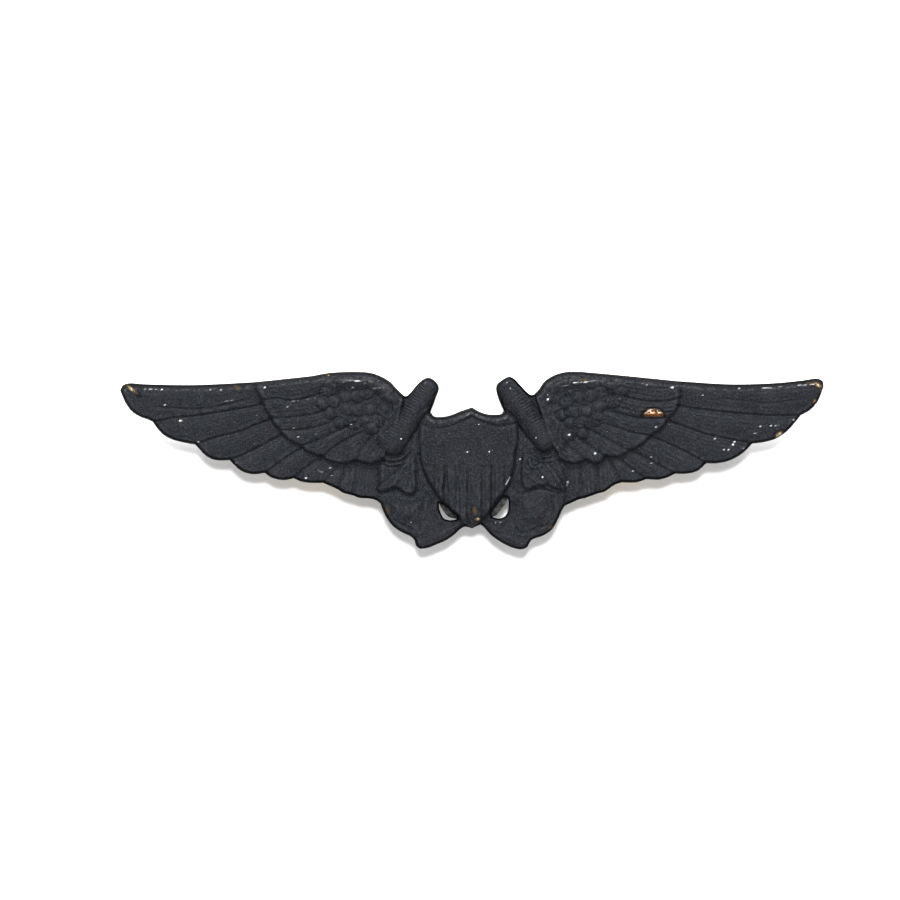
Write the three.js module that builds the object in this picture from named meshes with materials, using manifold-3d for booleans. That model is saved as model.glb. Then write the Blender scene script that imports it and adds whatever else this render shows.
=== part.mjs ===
// Pilot wings pin: a die-struck pair of feathered wings with a fluted shield on two
// crossed anchors, held to cloth by two sharp posts and two butterfly clutches.
// Millimetres, +Z is the face of the badge, +Y its top edge, X runs along the span.
// The clutch ears stand on z = 0.
import * as THREE from "three";
import { mergeVertices } from "three/addons/utils/BufferGeometryUtils.js";
import Module from "manifold-3d";

const wasm = await Module();
wasm.setup();

// ---------------------------------------------------------------- driving sizes
const CLUTCH_HEIGHT = 5.6; // ear tips to the face that presses on the cloth
const CLOTH_GAP = 0.1; // clutch face to the back of the badge
const BACK_Z = CLUTCH_HEIGHT + CLOTH_GAP; // back plane of the badge
const EDGE_THICKNESS = 1.0; // badge at its outline
const RECESS_DEPTH = 0.5; // struck hollow in the back
const PRIMARY_STEP = 0.1; // height from one flight feather to the next
const COVERT_BASE = 1.9; // lowest covert above the back plane
const COVERT_STEP = 0.08; // height from one covert to the next
const SHOULDER_TOP = 2.5; // rounded leading edge of the wing
const SHIELD_TOP = 2.6; // crown of the shield
const SHIELD_CROWN_RADIUS = 26; // radius of its curved face
const SHIELD_RIM = 0.22; // raised band along its top edge
const FLUTE_RADIUS = 0.24; // grooves in the lower shield
const FLUTE_START_Y = -0.35;
const FLUTES_X = [-4.25, -3.05, -1.85, -0.5, 0.85, 2.2, 3.5];
const ROD_AXIS_Z = 1.15; // anchor rods above the back plane
const RIDGE_PITCH = 0.36; // fine ridges across the rods
const RIDGE_HEIGHT = 0.07;
const SCALE_RADIUS = 0.58; // small round feathers on the wing's shoulder

const POST_X = 16; // the two posts, left and right of the middle
const POST_Y = 3.4;
const POST_RADIUS = 0.55;
const POST_TIP_Z = 0.35;
const FOOT_RADIUS = 1.5; // soldered foot of each post
const FOOT_THICKNESS = 0.3;

const BASE_RADIUS = 5.3; // clutch base disc
const BASE_SHEET = 0.35;
const BASE_RIM = 1.15; // rolled rim, measured from the cloth face
const SHELL_FLANGE_RADIUS = 4.8;
const SHELL_ROOF = 2.75; // roof of the shell, measured from the cloth face
const SHELL_SHEET = 0.3;
const CLUTCH_BORE = 0.8; // radius of the holes the post runs through
const LEVER_SHEET = 0.4;
const LEVER_WIDTH = 4.6;
const HINGE_Y = 3.3; // fulcrum of a lever from the post's centre
const HINGE_DEPTH = 1.6; // and from the cloth face

// ---------------------------------------------------------------- outlines
// Every run is [outward x, y]; both wings are drawn separately because the two
// sides of the struck badge differ. Runs meet at the sharp corners of the outline.
const LEFT = {
  side: -1,
  brow: [[0, 5.75], [1.3, 5.3], [2.3, 4.9], [3.4, 4.7], [4.2, 4.8], [4.65, 5.3]],
  stub: [[4.65, 5.3], [4.05, 6.9], [3.7, 7.95], [3.95, 8.5], [4.7, 9.0], [5.25, 8.85], [6.0, 8.2],
    [6.65, 7.4], [7.15, 6.98], [7.45, 7.0]],
  shoulder: [[7.45, 7.0], [8.3, 7.8], [9.0, 8.55], [10.1, 9.2], [11.2, 9.55], [12.6, 9.65],
    [15.5, 9.55], [17.5, 9.2]],
  middle: [[17.5, 9.2], [21.6, 8.75], [23.9, 8.52]],
  leading: [[23.9, 8.52], [27.9, 8.3], [30.9, 8.2], [36.0, 8.3], [37.6, 8.4], [38.2, 8.2], [38.5, 7.7]],
  tips: [
    [[38.5, 7.7], [37.85, 6.3], [37.2, 5.45], [36.35, 4.9], [35.4, 4.55], [34.9, 4.3]],
    [[34.9, 4.3], [34.5, 3.7], [33.75, 2.9], [32.8, 2.4], [31.7, 2.1], [30.3, 1.85]],
    [[30.3, 1.85], [29.1, 0.6], [28.3, 0.2], [27.45, 0.1], [26.55, 0.15]],
    [[26.55, 0.15], [25.4, -0.95], [24.6, -1.3], [23.75, -1.4], [22.65, -1.25]],
    [[22.65, -1.25], [22.0, -1.75], [20.7, -2.05], [19.5, -1.85]],
    [[19.5, -1.85], [18.7, -2.2], [17.75, -2.35], [16.3, -2.35]],
    [[16.3, -2.35], [14.8, -3.0]],
    [[14.8, -3.0], [14.05, -3.45], [13.1, -3.7]],
    [[13.1, -3.7], [12.25, -4.0], [11.3, -4.05], [10.5, -4.25], [9.95, -4.65]],
  ],
  arm: [[9.95, -4.65], [9.55, -5.7], [9.1, -6.5], [8.45, -7.25], [7.6, -7.8], [6.65, -8.25], [6.2, -8.7]],
  fluke: [[6.2, -8.7], [6.05, -9.25], [5.7, -9.55], [4.75, -9.45], [3.9, -9.1], [2.95, -8.7], [2.0, -8.05],
    [1.2, -7.35], [0.7, -7.15], [0, -7.35]],
  hole: [[3.6, -4.6], [2.95, -4.95], [2.15, -5.65], [1.55, -6.2], [1.75, -6.45], [2.4, -6.55],
    [3.0, -6.4], [3.35, -5.9], [3.6, -5.2]],
  grooves: [
    [[34.9, 4.3], [32.8, 4.75], [30.1, 5.0], [27.3, 5.45], [22.5, 6.3]],
    [[30.3, 1.85], [27.6, 2.75], [25.4, 3.3], [23.5, 4.1], [21.0, 4.9]],
    [[26.55, 0.15], [24.6, 0.95], [23.2, 1.65], [21.8, 2.4], [20.0, 3.4]],
    [[22.65, -1.25], [21.9, -0.7], [20.05, 0.65], [17.5, 2.1]],
    [[19.5, -1.85], [18.45, -0.85], [15.8, 1.1]],
    [[16.3, -2.35], [15.4, -1.4], [13.9, 0.2]],
    [[14.8, -3.0], [14.4, -2.1], [13.9, -0.1]],
    [[13.1, -3.7], [12.9, -2.6], [12.7, 0.1]],
  ],
  tier: [
    [[23.9, 8.52], [23.4, 7.3], [23.1, 6.6]],
    [[23.1, 6.6], [22.8, 5.9], [22.0, 4.65]],
    [[22.0, 4.65], [21.7, 4.0], [21.15, 3.45]],
    [[21.15, 3.45], [20.6, 2.7], [19.8, 2.1], [18.8, 1.65]],
    [[18.8, 1.65], [18.2, 1.1], [17.3, 0.7], [16.4, 0.45]],
    [[16.4, 0.45], [15.6, -0.05], [14.5, -0.3], [13.4, -0.3], [12.65, 0]],
    [[12.65, 0], [11.3, -0.4], [10.3, -0.2], [9.5, 0.2]],
  ],
  coverts: [
    [[23.1, 6.6], [21.6, 6.9], [19.5, 6.65], [16.6, 7.4]],
    [[22.0, 4.65], [18.15, 5.0], [15.8, 5.6]],
    [[21.15, 3.45], [17.75, 3.6], [14.7, 4.6]],
    [[18.8, 1.65], [16.65, 2.45], [13.9, 3.75]],
    [[16.4, 0.45], [14.7, 1.85], [12.0, 3.3]],
    [[12.65, 0], [12.4, 0.9], [11.0, 2.8]],
  ],
  brace: [[17.5, 9.2], [15.8, 8.3], [12.6, 8.1], [10.2, 7.7], [8.9, 7.0], [7.45, 7.0]],
  shield: [[4.65, 5.3], [5.55, 4.45], [5.8, 3.35], [5.8, 1.7], [5.7, 0.35], [5.35, -1.05],
    [4.85, -2.15], [4.05, -3.5], [3.1, -4.75], [2.15, -5.7], [1.3, -6.5], [0, -7.35]],
  rim: [[5.55, 4.45], [4.6, 3.7], [3.65, 3.6], [2.4, 3.9], [1.3, 4.3], [0, 5.0]],
  rodTop: [4.7, 8.25, 0.86],
  rodEnd: [8.65, 1.9, 1.4],
  palm: [[6.1, 1.1], [7.9, -0.6], [10.2, -3.4], [9.0, -3.65], [7.8, -3.3], [6.9, -3.75], [5.7, -3.2]],
  inner: [[6.2, -8.7], [5.3, -7.75], [4.0, -7.2], [2.7, -6.95], [1.5, -6.7], [0.7, -6.85], [0, -7.35]],
  scales: [[15.0, 7.8], [13.9, 7.15], [12.6, 7.0], [11.3, 7.05], [16.5, 6.35], [15.2, 6.2], [13.9, 5.7],
    [12.5, 5.5], [14.6, 4.0], [13.1, 4.15], [11.7, 4.45], [11.2, 2.9]],
};
const RIGHT = {
  side: 1,
  brow: [[0, 5.75], [0.75, 5.3], [1.7, 5.0], [2.5, 4.95], [3.3, 5.05], [3.6, 5.45]],
  stub: [[3.6, 5.45], [3.05, 6.75], [2.75, 7.7], [2.8, 8.25], [3.35, 8.75], [4.05, 9.1], [4.5, 8.95],
    [5.25, 8.2], [5.95, 7.45], [6.5, 7.1], [6.9, 7.2]],
  shoulder: [[6.9, 7.2], [7.45, 7.8], [8.0, 8.6], [8.7, 9.1], [9.5, 9.45], [10.5, 9.65], [11.9, 9.65],
    [13.2, 9.55], [17.0, 9.2]],
  middle: [[17.0, 9.2], [21.4, 8.75], [22.6, 8.63]],
  leading: [[22.6, 8.63], [27.7, 8.3], [30.85, 8.3], [33.75, 8.45], [36.2, 8.7], [37.9, 8.9],
    [38.4, 8.65], [38.5, 8.15]],
  tips: [
    [[38.5, 8.15], [37.85, 6.55], [37.0, 5.6], [36.0, 5.05]],
    [[36.0, 5.05], [35.4, 4.3], [34.55, 3.35], [33.3, 2.5], [31.95, 2.1], [30.7, 1.95]],
    [[30.7, 1.95], [29.65, 0.9], [28.25, 0.1], [26.9, -0.2], [25.65, -0.2]],
    [[25.65, -0.2], [24.7, -1.05], [23.45, -1.35], [22.25, -1.35]],
    [[22.25, -1.35], [21.3, -1.8], [20.45, -2.0], [19.1, -1.95]],
    [[19.1, -1.95], [18.0, -2.3], [16.4, -2.3]],
    [[16.4, -2.3], [15.55, -2.6], [14.55, -3.3], [13.8, -3.5]],
    [[13.8, -3.5], [12.4, -4.0], [11.7, -4.15]],
    [[11.7, -4.15], [10.75, -4.6], [10.15, -4.85]],
  ],
  arm: [[10.15, -4.85], [9.8, -5.4], [9.35, -6.4], [8.7, -7.5], [7.85, -8.1], [6.55, -8.6], [6.2, -9.05]],
  fluke: [[6.2, -9.05], [5.95, -9.45], [5.4, -9.65], [4.3, -9.4], [3.05, -8.75], [2.1, -8.05],
    [1.3, -7.15], [0.9, -6.95], [0.5, -7.1], [0, -7.35]],
  hole: [[3.6, -3.95], [3.95, -4.2], [4.05, -4.75], [3.9, -5.7], [3.6, -6.15], [2.95, -6.35],
    [2.25, -6.15], [2.15, -5.65], [2.65, -5.0], [3.2, -4.25]],
  grooves: [
    [[36.0, 5.05], [32.65, 5.05], [27.7, 5.4], [22.2, 6.1]],
    [[30.7, 1.95], [27.15, 2.65], [25.5, 3.0], [23.6, 3.7], [21.3, 4.5]],
    [[25.65, -0.2], [24.15, 0.65], [21.7, 1.85], [19.0, 3.0]],
    [[22.25, -1.35], [20.3, -0.3], [17.3, 1.3]],
    [[19.1, -1.95], [17.6, -0.9], [15.5, 0.8]],
    [[16.4, -2.3], [15.9, -1.2], [14.9, 0.5]],
    [[13.8, -3.5], [13.9, -2.5], [13.6, 0.1]],
    [[11.7, -4.15], [12.0, -3.0], [11.9, 0.2]],
  ],
  tier: [
    [[22.6, 8.63], [22.85, 7.4], [22.8, 6.9]],
    [[22.8, 6.9], [22.5, 5.8], [21.7, 4.7]],
    [[21.7, 4.7], [20.7, 3.5], [19.65, 2.8]],
    [[19.65, 2.8], [18.6, 1.8], [17.3, 1.1]],
    [[17.3, 1.1], [16.75, 0.75], [15.7, 0.35], [14.6, 0.5]],
    [[14.6, 0.5], [14.3, 0], [13.6, -0.35], [12.9, -0.15], [12.4, 0.05]],
    [[12.4, 0.05], [11.7, -0.3], [10.45, -0.25], [9.6, 0.1]],
  ],
  coverts: [
    [[22.8, 6.9], [20.75, 6.55], [18.7, 6.65], [16.2, 7.2]],
    [[21.7, 4.7], [18.0, 4.8], [15.0, 5.55]],
    [[19.65, 2.8], [17.3, 3.2], [14.2, 4.3]],
    [[17.3, 1.1], [15.25, 2.25], [12.8, 3.55]],
    [[14.6, 0.5], [12.5, 2.0], [11.4, 2.8]],
    [[12.4, 0.05], [11.85, 0.6], [10.2, 1.95]],
  ],
  brace: [[17.0, 9.2], [14.8, 8.3], [12.2, 8.15], [10.2, 7.9], [8.6, 7.3], [6.9, 7.2]],
  shield: [[3.6, 5.45], [4.9, 4.4], [5.05, 3.35], [5.05, 2.25], [4.85, 0.9], [4.65, -0.65],
    [4.3, -2.0], [3.75, -3.25], [2.95, -4.3], [1.95, -5.7], [0.9, -6.65], [0, -7.35]],
  rim: [[4.9, 4.4], [4.4, 4.15], [2.9, 3.9], [1.3, 4.3], [0, 5.0]],
  rodTop: [3.7, 8.2, 0.88],
  rodEnd: [8.0, 2.3, 1.4],
  palm: [[5.5, 0.7], [7.0, 0.7], [8.5, -0.6], [9.6, -1.8], [10.2, -3.4], [8.8, -3.0], [7.3, -2.9],
    [5.6, -3.3]],
  inner: [[6.2, -9.05], [5.3, -8.3], [4.1, -7.6], [2.9, -6.9], [1.6, -6.5], [0.8, -6.65], [0, -7.35]],
  scales: [[15.3, 7.9], [14.1, 7.35], [12.9, 7.05], [11.6, 6.85], [10.3, 6.5], [14.0, 5.75], [12.6, 5.3],
    [11.2, 5.4], [10.3, 4.15], [11.95, 4.1], [13.4, 4.25], [10.1, 2.8]],
};
// Hollow struck into the back, [outward x, y], the same on both sides.
const RECESS = [[0, 3.2], [5.0, 4.2], [8.6, 5.9], [11.2, 8.2], [16.0, 8.1], [22.0, 7.3], [28.0, 6.9],
  [30.6, 6.6], [30.8, 5.6], [28.6, 3.6], [24.6, 1.7], [20.6, 0], [16.0, -0.7], [11.6, -1.8],
  [8.4, -2.6], [4.6, -2.6], [0, -3.4]];

// ---------------------------------------------------------------- helpers
function toSolid(geometry) {
  geometry.deleteAttribute("normal");
  geometry.deleteAttribute("uv");
  const merged = mergeVertices(geometry, 1e-5);
  return new wasm.Manifold(new wasm.Mesh({
    numProp: 3,
    vertProperties: Float32Array.from(merged.attributes.position.array),
    triVerts: Uint32Array.from(merged.index.array),
  }));
}

function toGeometry(solid) {
  const mesh = solid.getMesh();
  const geometry = new THREE.BufferGeometry();
  geometry.setAttribute("position", new THREE.BufferAttribute(mesh.vertProperties, 3));
  geometry.setIndex(new THREE.BufferAttribute(mesh.triVerts, 1));
  return geometry;
}

// Smooth line through the given corners, as many pieces per span as asked.
function smooth(points, perSpan = 2) {
  if (points.length < 3) return points;
  const curve = new THREE.CatmullRomCurve3(points.map(([x, y]) => new THREE.Vector3(x, y, 0)));
  const line = curve.getPoints((points.length - 1) * perSpan).map((p) => [p.x, p.y]);
  line[0] = points[0];
  line[line.length - 1] = points[points.length - 1];
  return line;
}

// Joins runs end to end into one closed ring, dropping repeated corners.
function ring(...runs) {
  const out = [];
  for (const [x, y] of runs.flat()) {
    const last = out[out.length - 1];
    if (!last || Math.hypot(last[0] - x, last[1] - y) > 1e-3) out.push([x, y]);
  }
  const [first, last] = [out[0], out[out.length - 1]];
  if (Math.hypot(first[0] - last[0], first[1] - last[1]) < 1e-3) out.pop();
  return out;
}

// Drops corners that lie on the straight line between their neighbours.
function withoutStraight(points) {
  return points.filter(([x, y], i) => {
    const [ax, ay] = points[(i + points.length - 1) % points.length];
    const [bx, by] = points[(i + 1) % points.length];
    return Math.abs((x - ax) * (by - ay) - (y - ay) * (bx - ax)) > 1e-5;
  });
}

function prism(points, side, bottom, top) {
  const plan = withoutStraight(points).map(([x, y]) => new THREE.Vector2(side * x, y));
  const shape = new THREE.Shape(plan);
  const body = new THREE.ExtrudeGeometry(shape, { depth: top - bottom, bevelEnabled: false });
  body.translate(0, 0, bottom);
  return toSolid(body);
}

// Flat strip of even thickness along a bent line, drawn in the plane of (outward, height).
function strip(line, thickness) {
  const half = thickness / 2;
  const sideOf = (sign) => line.map(([u, v], i) => {
    const before = line[Math.max(i - 1, 0)];
    const after = line[Math.min(i + 1, line.length - 1)];
    const d = new THREE.Vector2(after[0] - before[0], after[1] - before[1]).normalize();
    return [u - sign * half * d.y, v + sign * half * d.x];
  });
  return [...sideOf(1), ...sideOf(-1).reverse()];
}

// ---------------------------------------------------------------- badge
const z = (aboveBack) => BACK_Z + aboveBack;
const EMBED = EDGE_THICKNESS * 0.7; // raised parts start inside the plate

function runsOf(wing) {
  const each = (runs) => runs.map((run) => smooth(run));
  const closed = (points) => smooth([...points, points[0]]).slice(0, -1);
  return {
    brow: smooth(wing.brow), stub: smooth(wing.stub), shoulder: smooth(wing.shoulder),
    middle: smooth(wing.middle), leading: smooth(wing.leading), tips: each(wing.tips),
    arm: smooth(wing.arm), fluke: smooth(wing.fluke), inner: smooth(wing.inner),
    hole: closed(wing.hole), palm: closed(wing.palm), grooves: each(wing.grooves),
    tier: each(wing.tier), coverts: each(wing.coverts), brace: smooth(wing.brace),
    shield: smooth(wing.shield), rim: smooth(wing.rim),
  };
}

const leftRuns = runsOf(LEFT);
const rightRuns = runsOf(RIGHT);

const halfOutline = (r) => ring(r.brow, r.stub, r.shoulder, r.middle, r.leading, ...r.tips, r.arm, r.fluke);
const mirrored = (points) => points.map(([x, y]) => [-x, y]);
const outline = ring(halfOutline(rightRuns), mirrored(halfOutline(leftRuns)).reverse());
const envelope = prism(outline, 1, z(0), z(4));

let badge = prism(outline, 1, z(0), z(EDGE_THICKNESS));

function flightFeathers(wing, r) {
  const layers = [];
  r.grooves.forEach((groove, k) => {
    const edge = ring(r.shoulder, r.middle, r.leading, ...r.tips.slice(0, k + 1), groove);
    const top = EDGE_THICKNESS + PRIMARY_STEP * (r.grooves.length - k);
    layers.push(prism(edge, wing.side, z(EMBED), z(top)));
  });
  return wasm.Manifold.union(layers);
}

function covertFeathers(wing, r) {
  const layers = [];
  const root = r.coverts.length;
  r.coverts.forEach((groove, k) => {
    const edge = ring(r.shoulder, r.middle, ...r.tier.slice(0, k + 1), groove);
    layers.push(prism(edge, wing.side, z(EMBED), z(COVERT_BASE + COVERT_STEP * (root - k))));
  });
  const whole = ring(r.shoulder, r.middle, ...r.tier, [[8.6, 2.4]]);
  layers.push(prism(whole, wing.side, z(EMBED), z(COVERT_BASE)));
  layers.push(prism(ring(r.shoulder, r.brace), wing.side, z(EMBED), z(SHOULDER_TOP)));
  for (const [x, y] of wing.scales) {
    const scale = new THREE.SphereGeometry(SCALE_RADIUS, 8, 4);
    scale.rotateX(Math.PI / 2);
    scale.scale(1, 1, 0.7);
    const base = COVERT_BASE + COVERT_STEP * Math.min(6, Math.max(0, y - 1.5));
    scale.translate(wing.side * x, y, z(base));
    layers.push(toSolid(scale));
  }
  return wasm.Manifold.union(layers);
}

// Tapered anchor rod with rounded ends and fine ridges across it.
function rod(wing) {
  const [tx, ty, tr] = wing.rodTop;
  const [ex, ey, er] = wing.rodEnd;
  const length = Math.hypot(tx - ex, ty - ey);
  const profile = [new THREE.Vector2(0, -er), new THREE.Vector2(er * 0.6, -er * 0.8)];
  const ridges = Math.round(length / RIDGE_PITCH);
  for (let i = 0; i <= ridges; i += 1) {
    const at = i / ridges;
    const radius = er + (tr - er) * at;
    profile.push(new THREE.Vector2(radius, at * length));
    if (i < ridges) profile.push(new THREE.Vector2(radius - RIDGE_HEIGHT, (at + 0.5 / ridges) * length));
  }
  profile.push(new THREE.Vector2(tr * 0.6, length + tr * 0.8), new THREE.Vector2(0, length + tr));
  const body = new THREE.LatheGeometry(profile, 12);
  const from = new THREE.Vector3(wing.side * ex, ey, 0);
  const to = new THREE.Vector3(wing.side * tx, ty, 0);
  const turn = new THREE.Quaternion().setFromUnitVectors(
    new THREE.Vector3(0, 1, 0), to.sub(from).normalize());
  body.applyQuaternion(turn);
  body.translate(from.x, from.y, z(ROD_AXIS_Z));
  return toSolid(body);
}

// Three rope turns hugging the lower end of a rod.
function ropes(wing) {
  const [ex, ey] = wing.rodEnd;
  return wasm.Manifold.union([1.75, 2.2, 2.65].map((radius, i) => {
    const arc = new THREE.TorusGeometry(radius, 0.26, 6, 8, 1.9);
    arc.rotateZ(Math.PI * (wing.side > 0 ? 1.02 : 1.37));
    arc.translate(wing.side * ex, ey, z(1.55 - 0.12 * i));
    return capTorus(arc);
  }));
}

// Closes the two open ends of a part-turn torus with fans.
function capTorus(geometry) {
  const { radialSegments: rings, tubularSegments: turns } = geometry.parameters;
  const index = Array.from(geometry.index.array);
  const row = turns + 1;
  for (let j = 1; j < rings - 1; j += 1) {
    index.push(0, j * row, (j + 1) * row);
    index.push(turns, (j + 1) * row + turns, j * row + turns);
  }
  geometry.setIndex(index);
  return toSolid(geometry);
}

function anchorFoot(wing, r) {
  const palm = prism(r.palm, wing.side, z(EMBED), z(1.75));
  const bowl = prism(ring(r.arm, r.inner, [[0.6, -6.2], [4.4, -4.4], [6.4, -4.0], [9.2, -4.3]]), wing.side,
    z(EMBED), z(1.25));
  const fluke = prism(ring(r.fluke, [...r.inner].reverse()), wing.side, z(EMBED), z(1.5));
  return wasm.Manifold.union([palm, bowl, fluke, ropes(wing)]);
}

function shield() {
  const ringOf = (r) => ring(r.brow, r.shield);
  const plan = ring(ringOf(rightRuns), mirrored(ringOf(leftRuns)).reverse());
  const crown = (top) => {
    const body = new THREE.CylinderGeometry(SHIELD_CROWN_RADIUS, SHIELD_CROWN_RADIUS, 30, 120);
    body.translate(0, 0, z(top) - SHIELD_CROWN_RADIUS);
    return toSolid(body);
  };
  let face = prism(plan, 1, z(EMBED), z(4)).intersect(crown(SHIELD_TOP));
  for (const x of FLUTES_X) {
    const flute = new THREE.CylinderGeometry(FLUTE_RADIUS, FLUTE_RADIUS, 8, 8);
    const sag = SHIELD_CROWN_RADIUS - Math.sqrt(SHIELD_CROWN_RADIUS ** 2 - x ** 2);
    flute.translate(x, FLUTE_START_Y - 4, z(SHIELD_TOP) - sag);
    face = face.subtract(toSolid(flute));
  }
  const band = (r) => ring(r.brow, r.shield.slice(0, 3), r.rim);
  const bandPlan = ring(band(rightRuns), mirrored(band(leftRuns)).reverse());
  return face.add(prism(bandPlan, 1, z(EMBED), z(4)).intersect(crown(SHIELD_TOP + SHIELD_RIM)));
}

for (const [wing, runs] of [[LEFT, leftRuns], [RIGHT, rightRuns]]) {
  badge = badge.add(flightFeathers(wing, runs)).add(covertFeathers(wing, runs));
  badge = badge.add(rod(wing).intersect(envelope)).add(anchorFoot(wing, runs).intersect(envelope));
}
badge = badge.add(shield().intersect(envelope));
for (const [wing, runs] of [[LEFT, leftRuns], [RIGHT, rightRuns]]) {
  badge = badge.subtract(prism(runs.hole, wing.side, z(-1), z(5)));
}
const hollow = ring(smooth(RECESS), mirrored(smooth(RECESS)).reverse());
badge = badge.subtract(prism(hollow, 1, z(-1), z(RECESS_DEPTH)));
badge = badge.trimByPlane([0, 0, 1], BACK_Z);

// ---------------------------------------------------------------- posts
// Turned pieces are drawn as [radius, z] from the axis outwards and back.
function turned(profile, x, segments = 24) {
  const body = new THREE.LatheGeometry(profile.map(([r, h]) => new THREE.Vector2(r, h)), segments);
  body.rotateX(Math.PI / 2);
  body.translate(x, POST_Y, 0);
  return toSolid(body);
}

const FOOT_TOP = z(RECESS_DEPTH);
const FOOT_BOTTOM = FOOT_TOP - FOOT_THICKNESS;
const footSolid = (x) => turned([[0, FOOT_BOTTOM], [FOOT_RADIUS * 0.8, FOOT_BOTTOM],
  [FOOT_RADIUS, FOOT_TOP - 0.12], [FOOT_RADIUS, FOOT_TOP], [0, FOOT_TOP]], x);
const postSolid = (x) => turned([[0, POST_TIP_Z], [0.12, POST_TIP_Z + 0.12], [POST_RADIUS, 1.75],
  [POST_RADIUS, 2.35], [0.42, 2.6], [0.42, 3.05], [POST_RADIUS, 3.3], [POST_RADIUS, FOOT_BOTTOM],
  [0, FOOT_BOTTOM]], x, 16);

// ---------------------------------------------------------------- clutches
const depth = (v) => CLUTCH_HEIGHT - v; // height of a point v below the cloth face

function clutchBase(x) {
  return turned([[CLUTCH_BORE, depth(0)], [CLUTCH_BORE, depth(BASE_SHEET)],
    [BASE_RADIUS - 0.35, depth(BASE_SHEET)], [BASE_RADIUS - 0.35, depth(BASE_RIM - 0.12)],
    [BASE_RADIUS - 0.23, depth(BASE_RIM)], [BASE_RADIUS - 0.1, depth(BASE_RIM)],
    [BASE_RADIUS, depth(BASE_RIM - 0.15)], [BASE_RADIUS, depth(0.2)], [BASE_RADIUS - 0.2, depth(0)],
    [CLUTCH_BORE, depth(0)]], x, 32);
}

function clutchShell(x) {
  const lip = BASE_SHEET + 0.03;
  const shell = turned([[4.1, depth(lip)], [3.65, depth(2.0)], [3.15, depth(SHELL_ROOF - SHELL_SHEET)],
    [CLUTCH_BORE, depth(SHELL_ROOF - SHELL_SHEET)], [CLUTCH_BORE, depth(SHELL_ROOF)],
    [3.3, depth(SHELL_ROOF)], [3.95, depth(2.15)], [4.35, depth(lip + SHELL_SHEET)],
    [SHELL_FLANGE_RADIUS, depth(lip + SHELL_SHEET)], [SHELL_FLANGE_RADIUS, depth(lip)],
    [4.1, depth(lip)]], x, 32);
  const slot = new THREE.BoxGeometry(LEVER_WIDTH + 0.5, 12, 1.5);
  slot.translate(x, POST_Y, depth(1.7));
  const keep = new THREE.BoxGeometry(LEVER_WIDTH + 2, 4.9, 3);
  keep.translate(x, POST_Y, depth(1.7));
  return shell.subtract(toSolid(slot).subtract(toSolid(keep)));
}

// One bent spring lever: jaw at the post, fulcrum at the shell's slot, ear outside.
const LEVER_LINE = [[0.1, 1.5], [2.4, 1.5], [HINGE_Y, HINGE_DEPTH], [3.95, 1.95], [4.3, 2.6], [4.6, 3.8],
  [4.85, 5.0], [4.95, CLUTCH_HEIGHT]];

function clutchLever(x, way) {
  const shape = new THREE.Shape(strip(LEVER_LINE, LEVER_SHEET).map(([u, v]) => new THREE.Vector2(u, v)));
  const body = new THREE.ExtrudeGeometry(shape, { depth: LEVER_WIDTH, bevelEnabled: false });
  body.translate(0, 0, -LEVER_WIDTH / 2);
  const toWorld = new THREE.Matrix4().makeBasis(
    new THREE.Vector3(0, way, 0), new THREE.Vector3(0, 0, -1), new THREE.Vector3(-way, 0, 0));
  body.applyMatrix4(toWorld);
  body.translate(x, POST_Y, CLUTCH_HEIGHT);
  let lever = toSolid(body);
  const cutBox = new THREE.BoxGeometry(LEVER_WIDTH + 2, 12, 2);
  cutBox.translate(x, POST_Y, -1);
  lever = lever.subtract(toSolid(cutBox));
  const jawGap = new THREE.BoxGeometry(LEVER_WIDTH + 2, 0.3, 4);
  jawGap.translate(x, POST_Y, depth(1.5));
  const notch = new THREE.CylinderGeometry(POST_RADIUS + 0.07, POST_RADIUS + 0.07, 4, 20);
  notch.rotateX(Math.PI / 2);
  notch.translate(x, POST_Y, depth(1.5));
  return lever.subtract(toSolid(jawGap)).subtract(toSolid(notch));
}

// ---------------------------------------------------------------- assembly
const PAINT = { color: 0x33353a, roughness: 0.62, metalness: 0.1 };
const BRASS = { color: 0xb4924e, roughness: 0.35, metalness: 0.9 };
const STEEL = { color: 0xb9b6ac, roughness: 0.3, metalness: 0.95 };

const pieces = [["wings_badge", badge, PAINT]];
for (const [label, side] of [["left", -1], ["right", 1]]) {
  const x = side * POST_X;
  pieces.push(
    [`post_foot_${label}`, footSolid(x), BRASS],
    [`post_${label}`, postSolid(x), STEEL],
    [`clutch_base_${label}`, clutchBase(x), BRASS],
    [`clutch_shell_${label}`, clutchShell(x), BRASS],
    [`clutch_lever_${label}_upper`, clutchLever(x, 1), BRASS],
    [`clutch_lever_${label}_lower`, clutchLever(x, -1), BRASS],
  );
}

const group = new THREE.Group();
group.name = "pilot_wings_pin";
for (const [name, solid, look] of pieces) {
  const material = new THREE.MeshStandardMaterial(look);
  material.name = look === PAINT ? "black_paint" : look === BRASS ? "brass" : "nickel";
  const mesh = new THREE.Mesh(toGeometry(solid), material);
  mesh.name = name;
  group.add(mesh);
}

// Put the middle of the span and of the height exactly on the origin.
const centre = new THREE.Box3().setFromObject(group).getCenter(new THREE.Vector3());
for (const mesh of group.children) mesh.geometry.translate(-centre.x, -centre.y, 0);

export default group;
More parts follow.
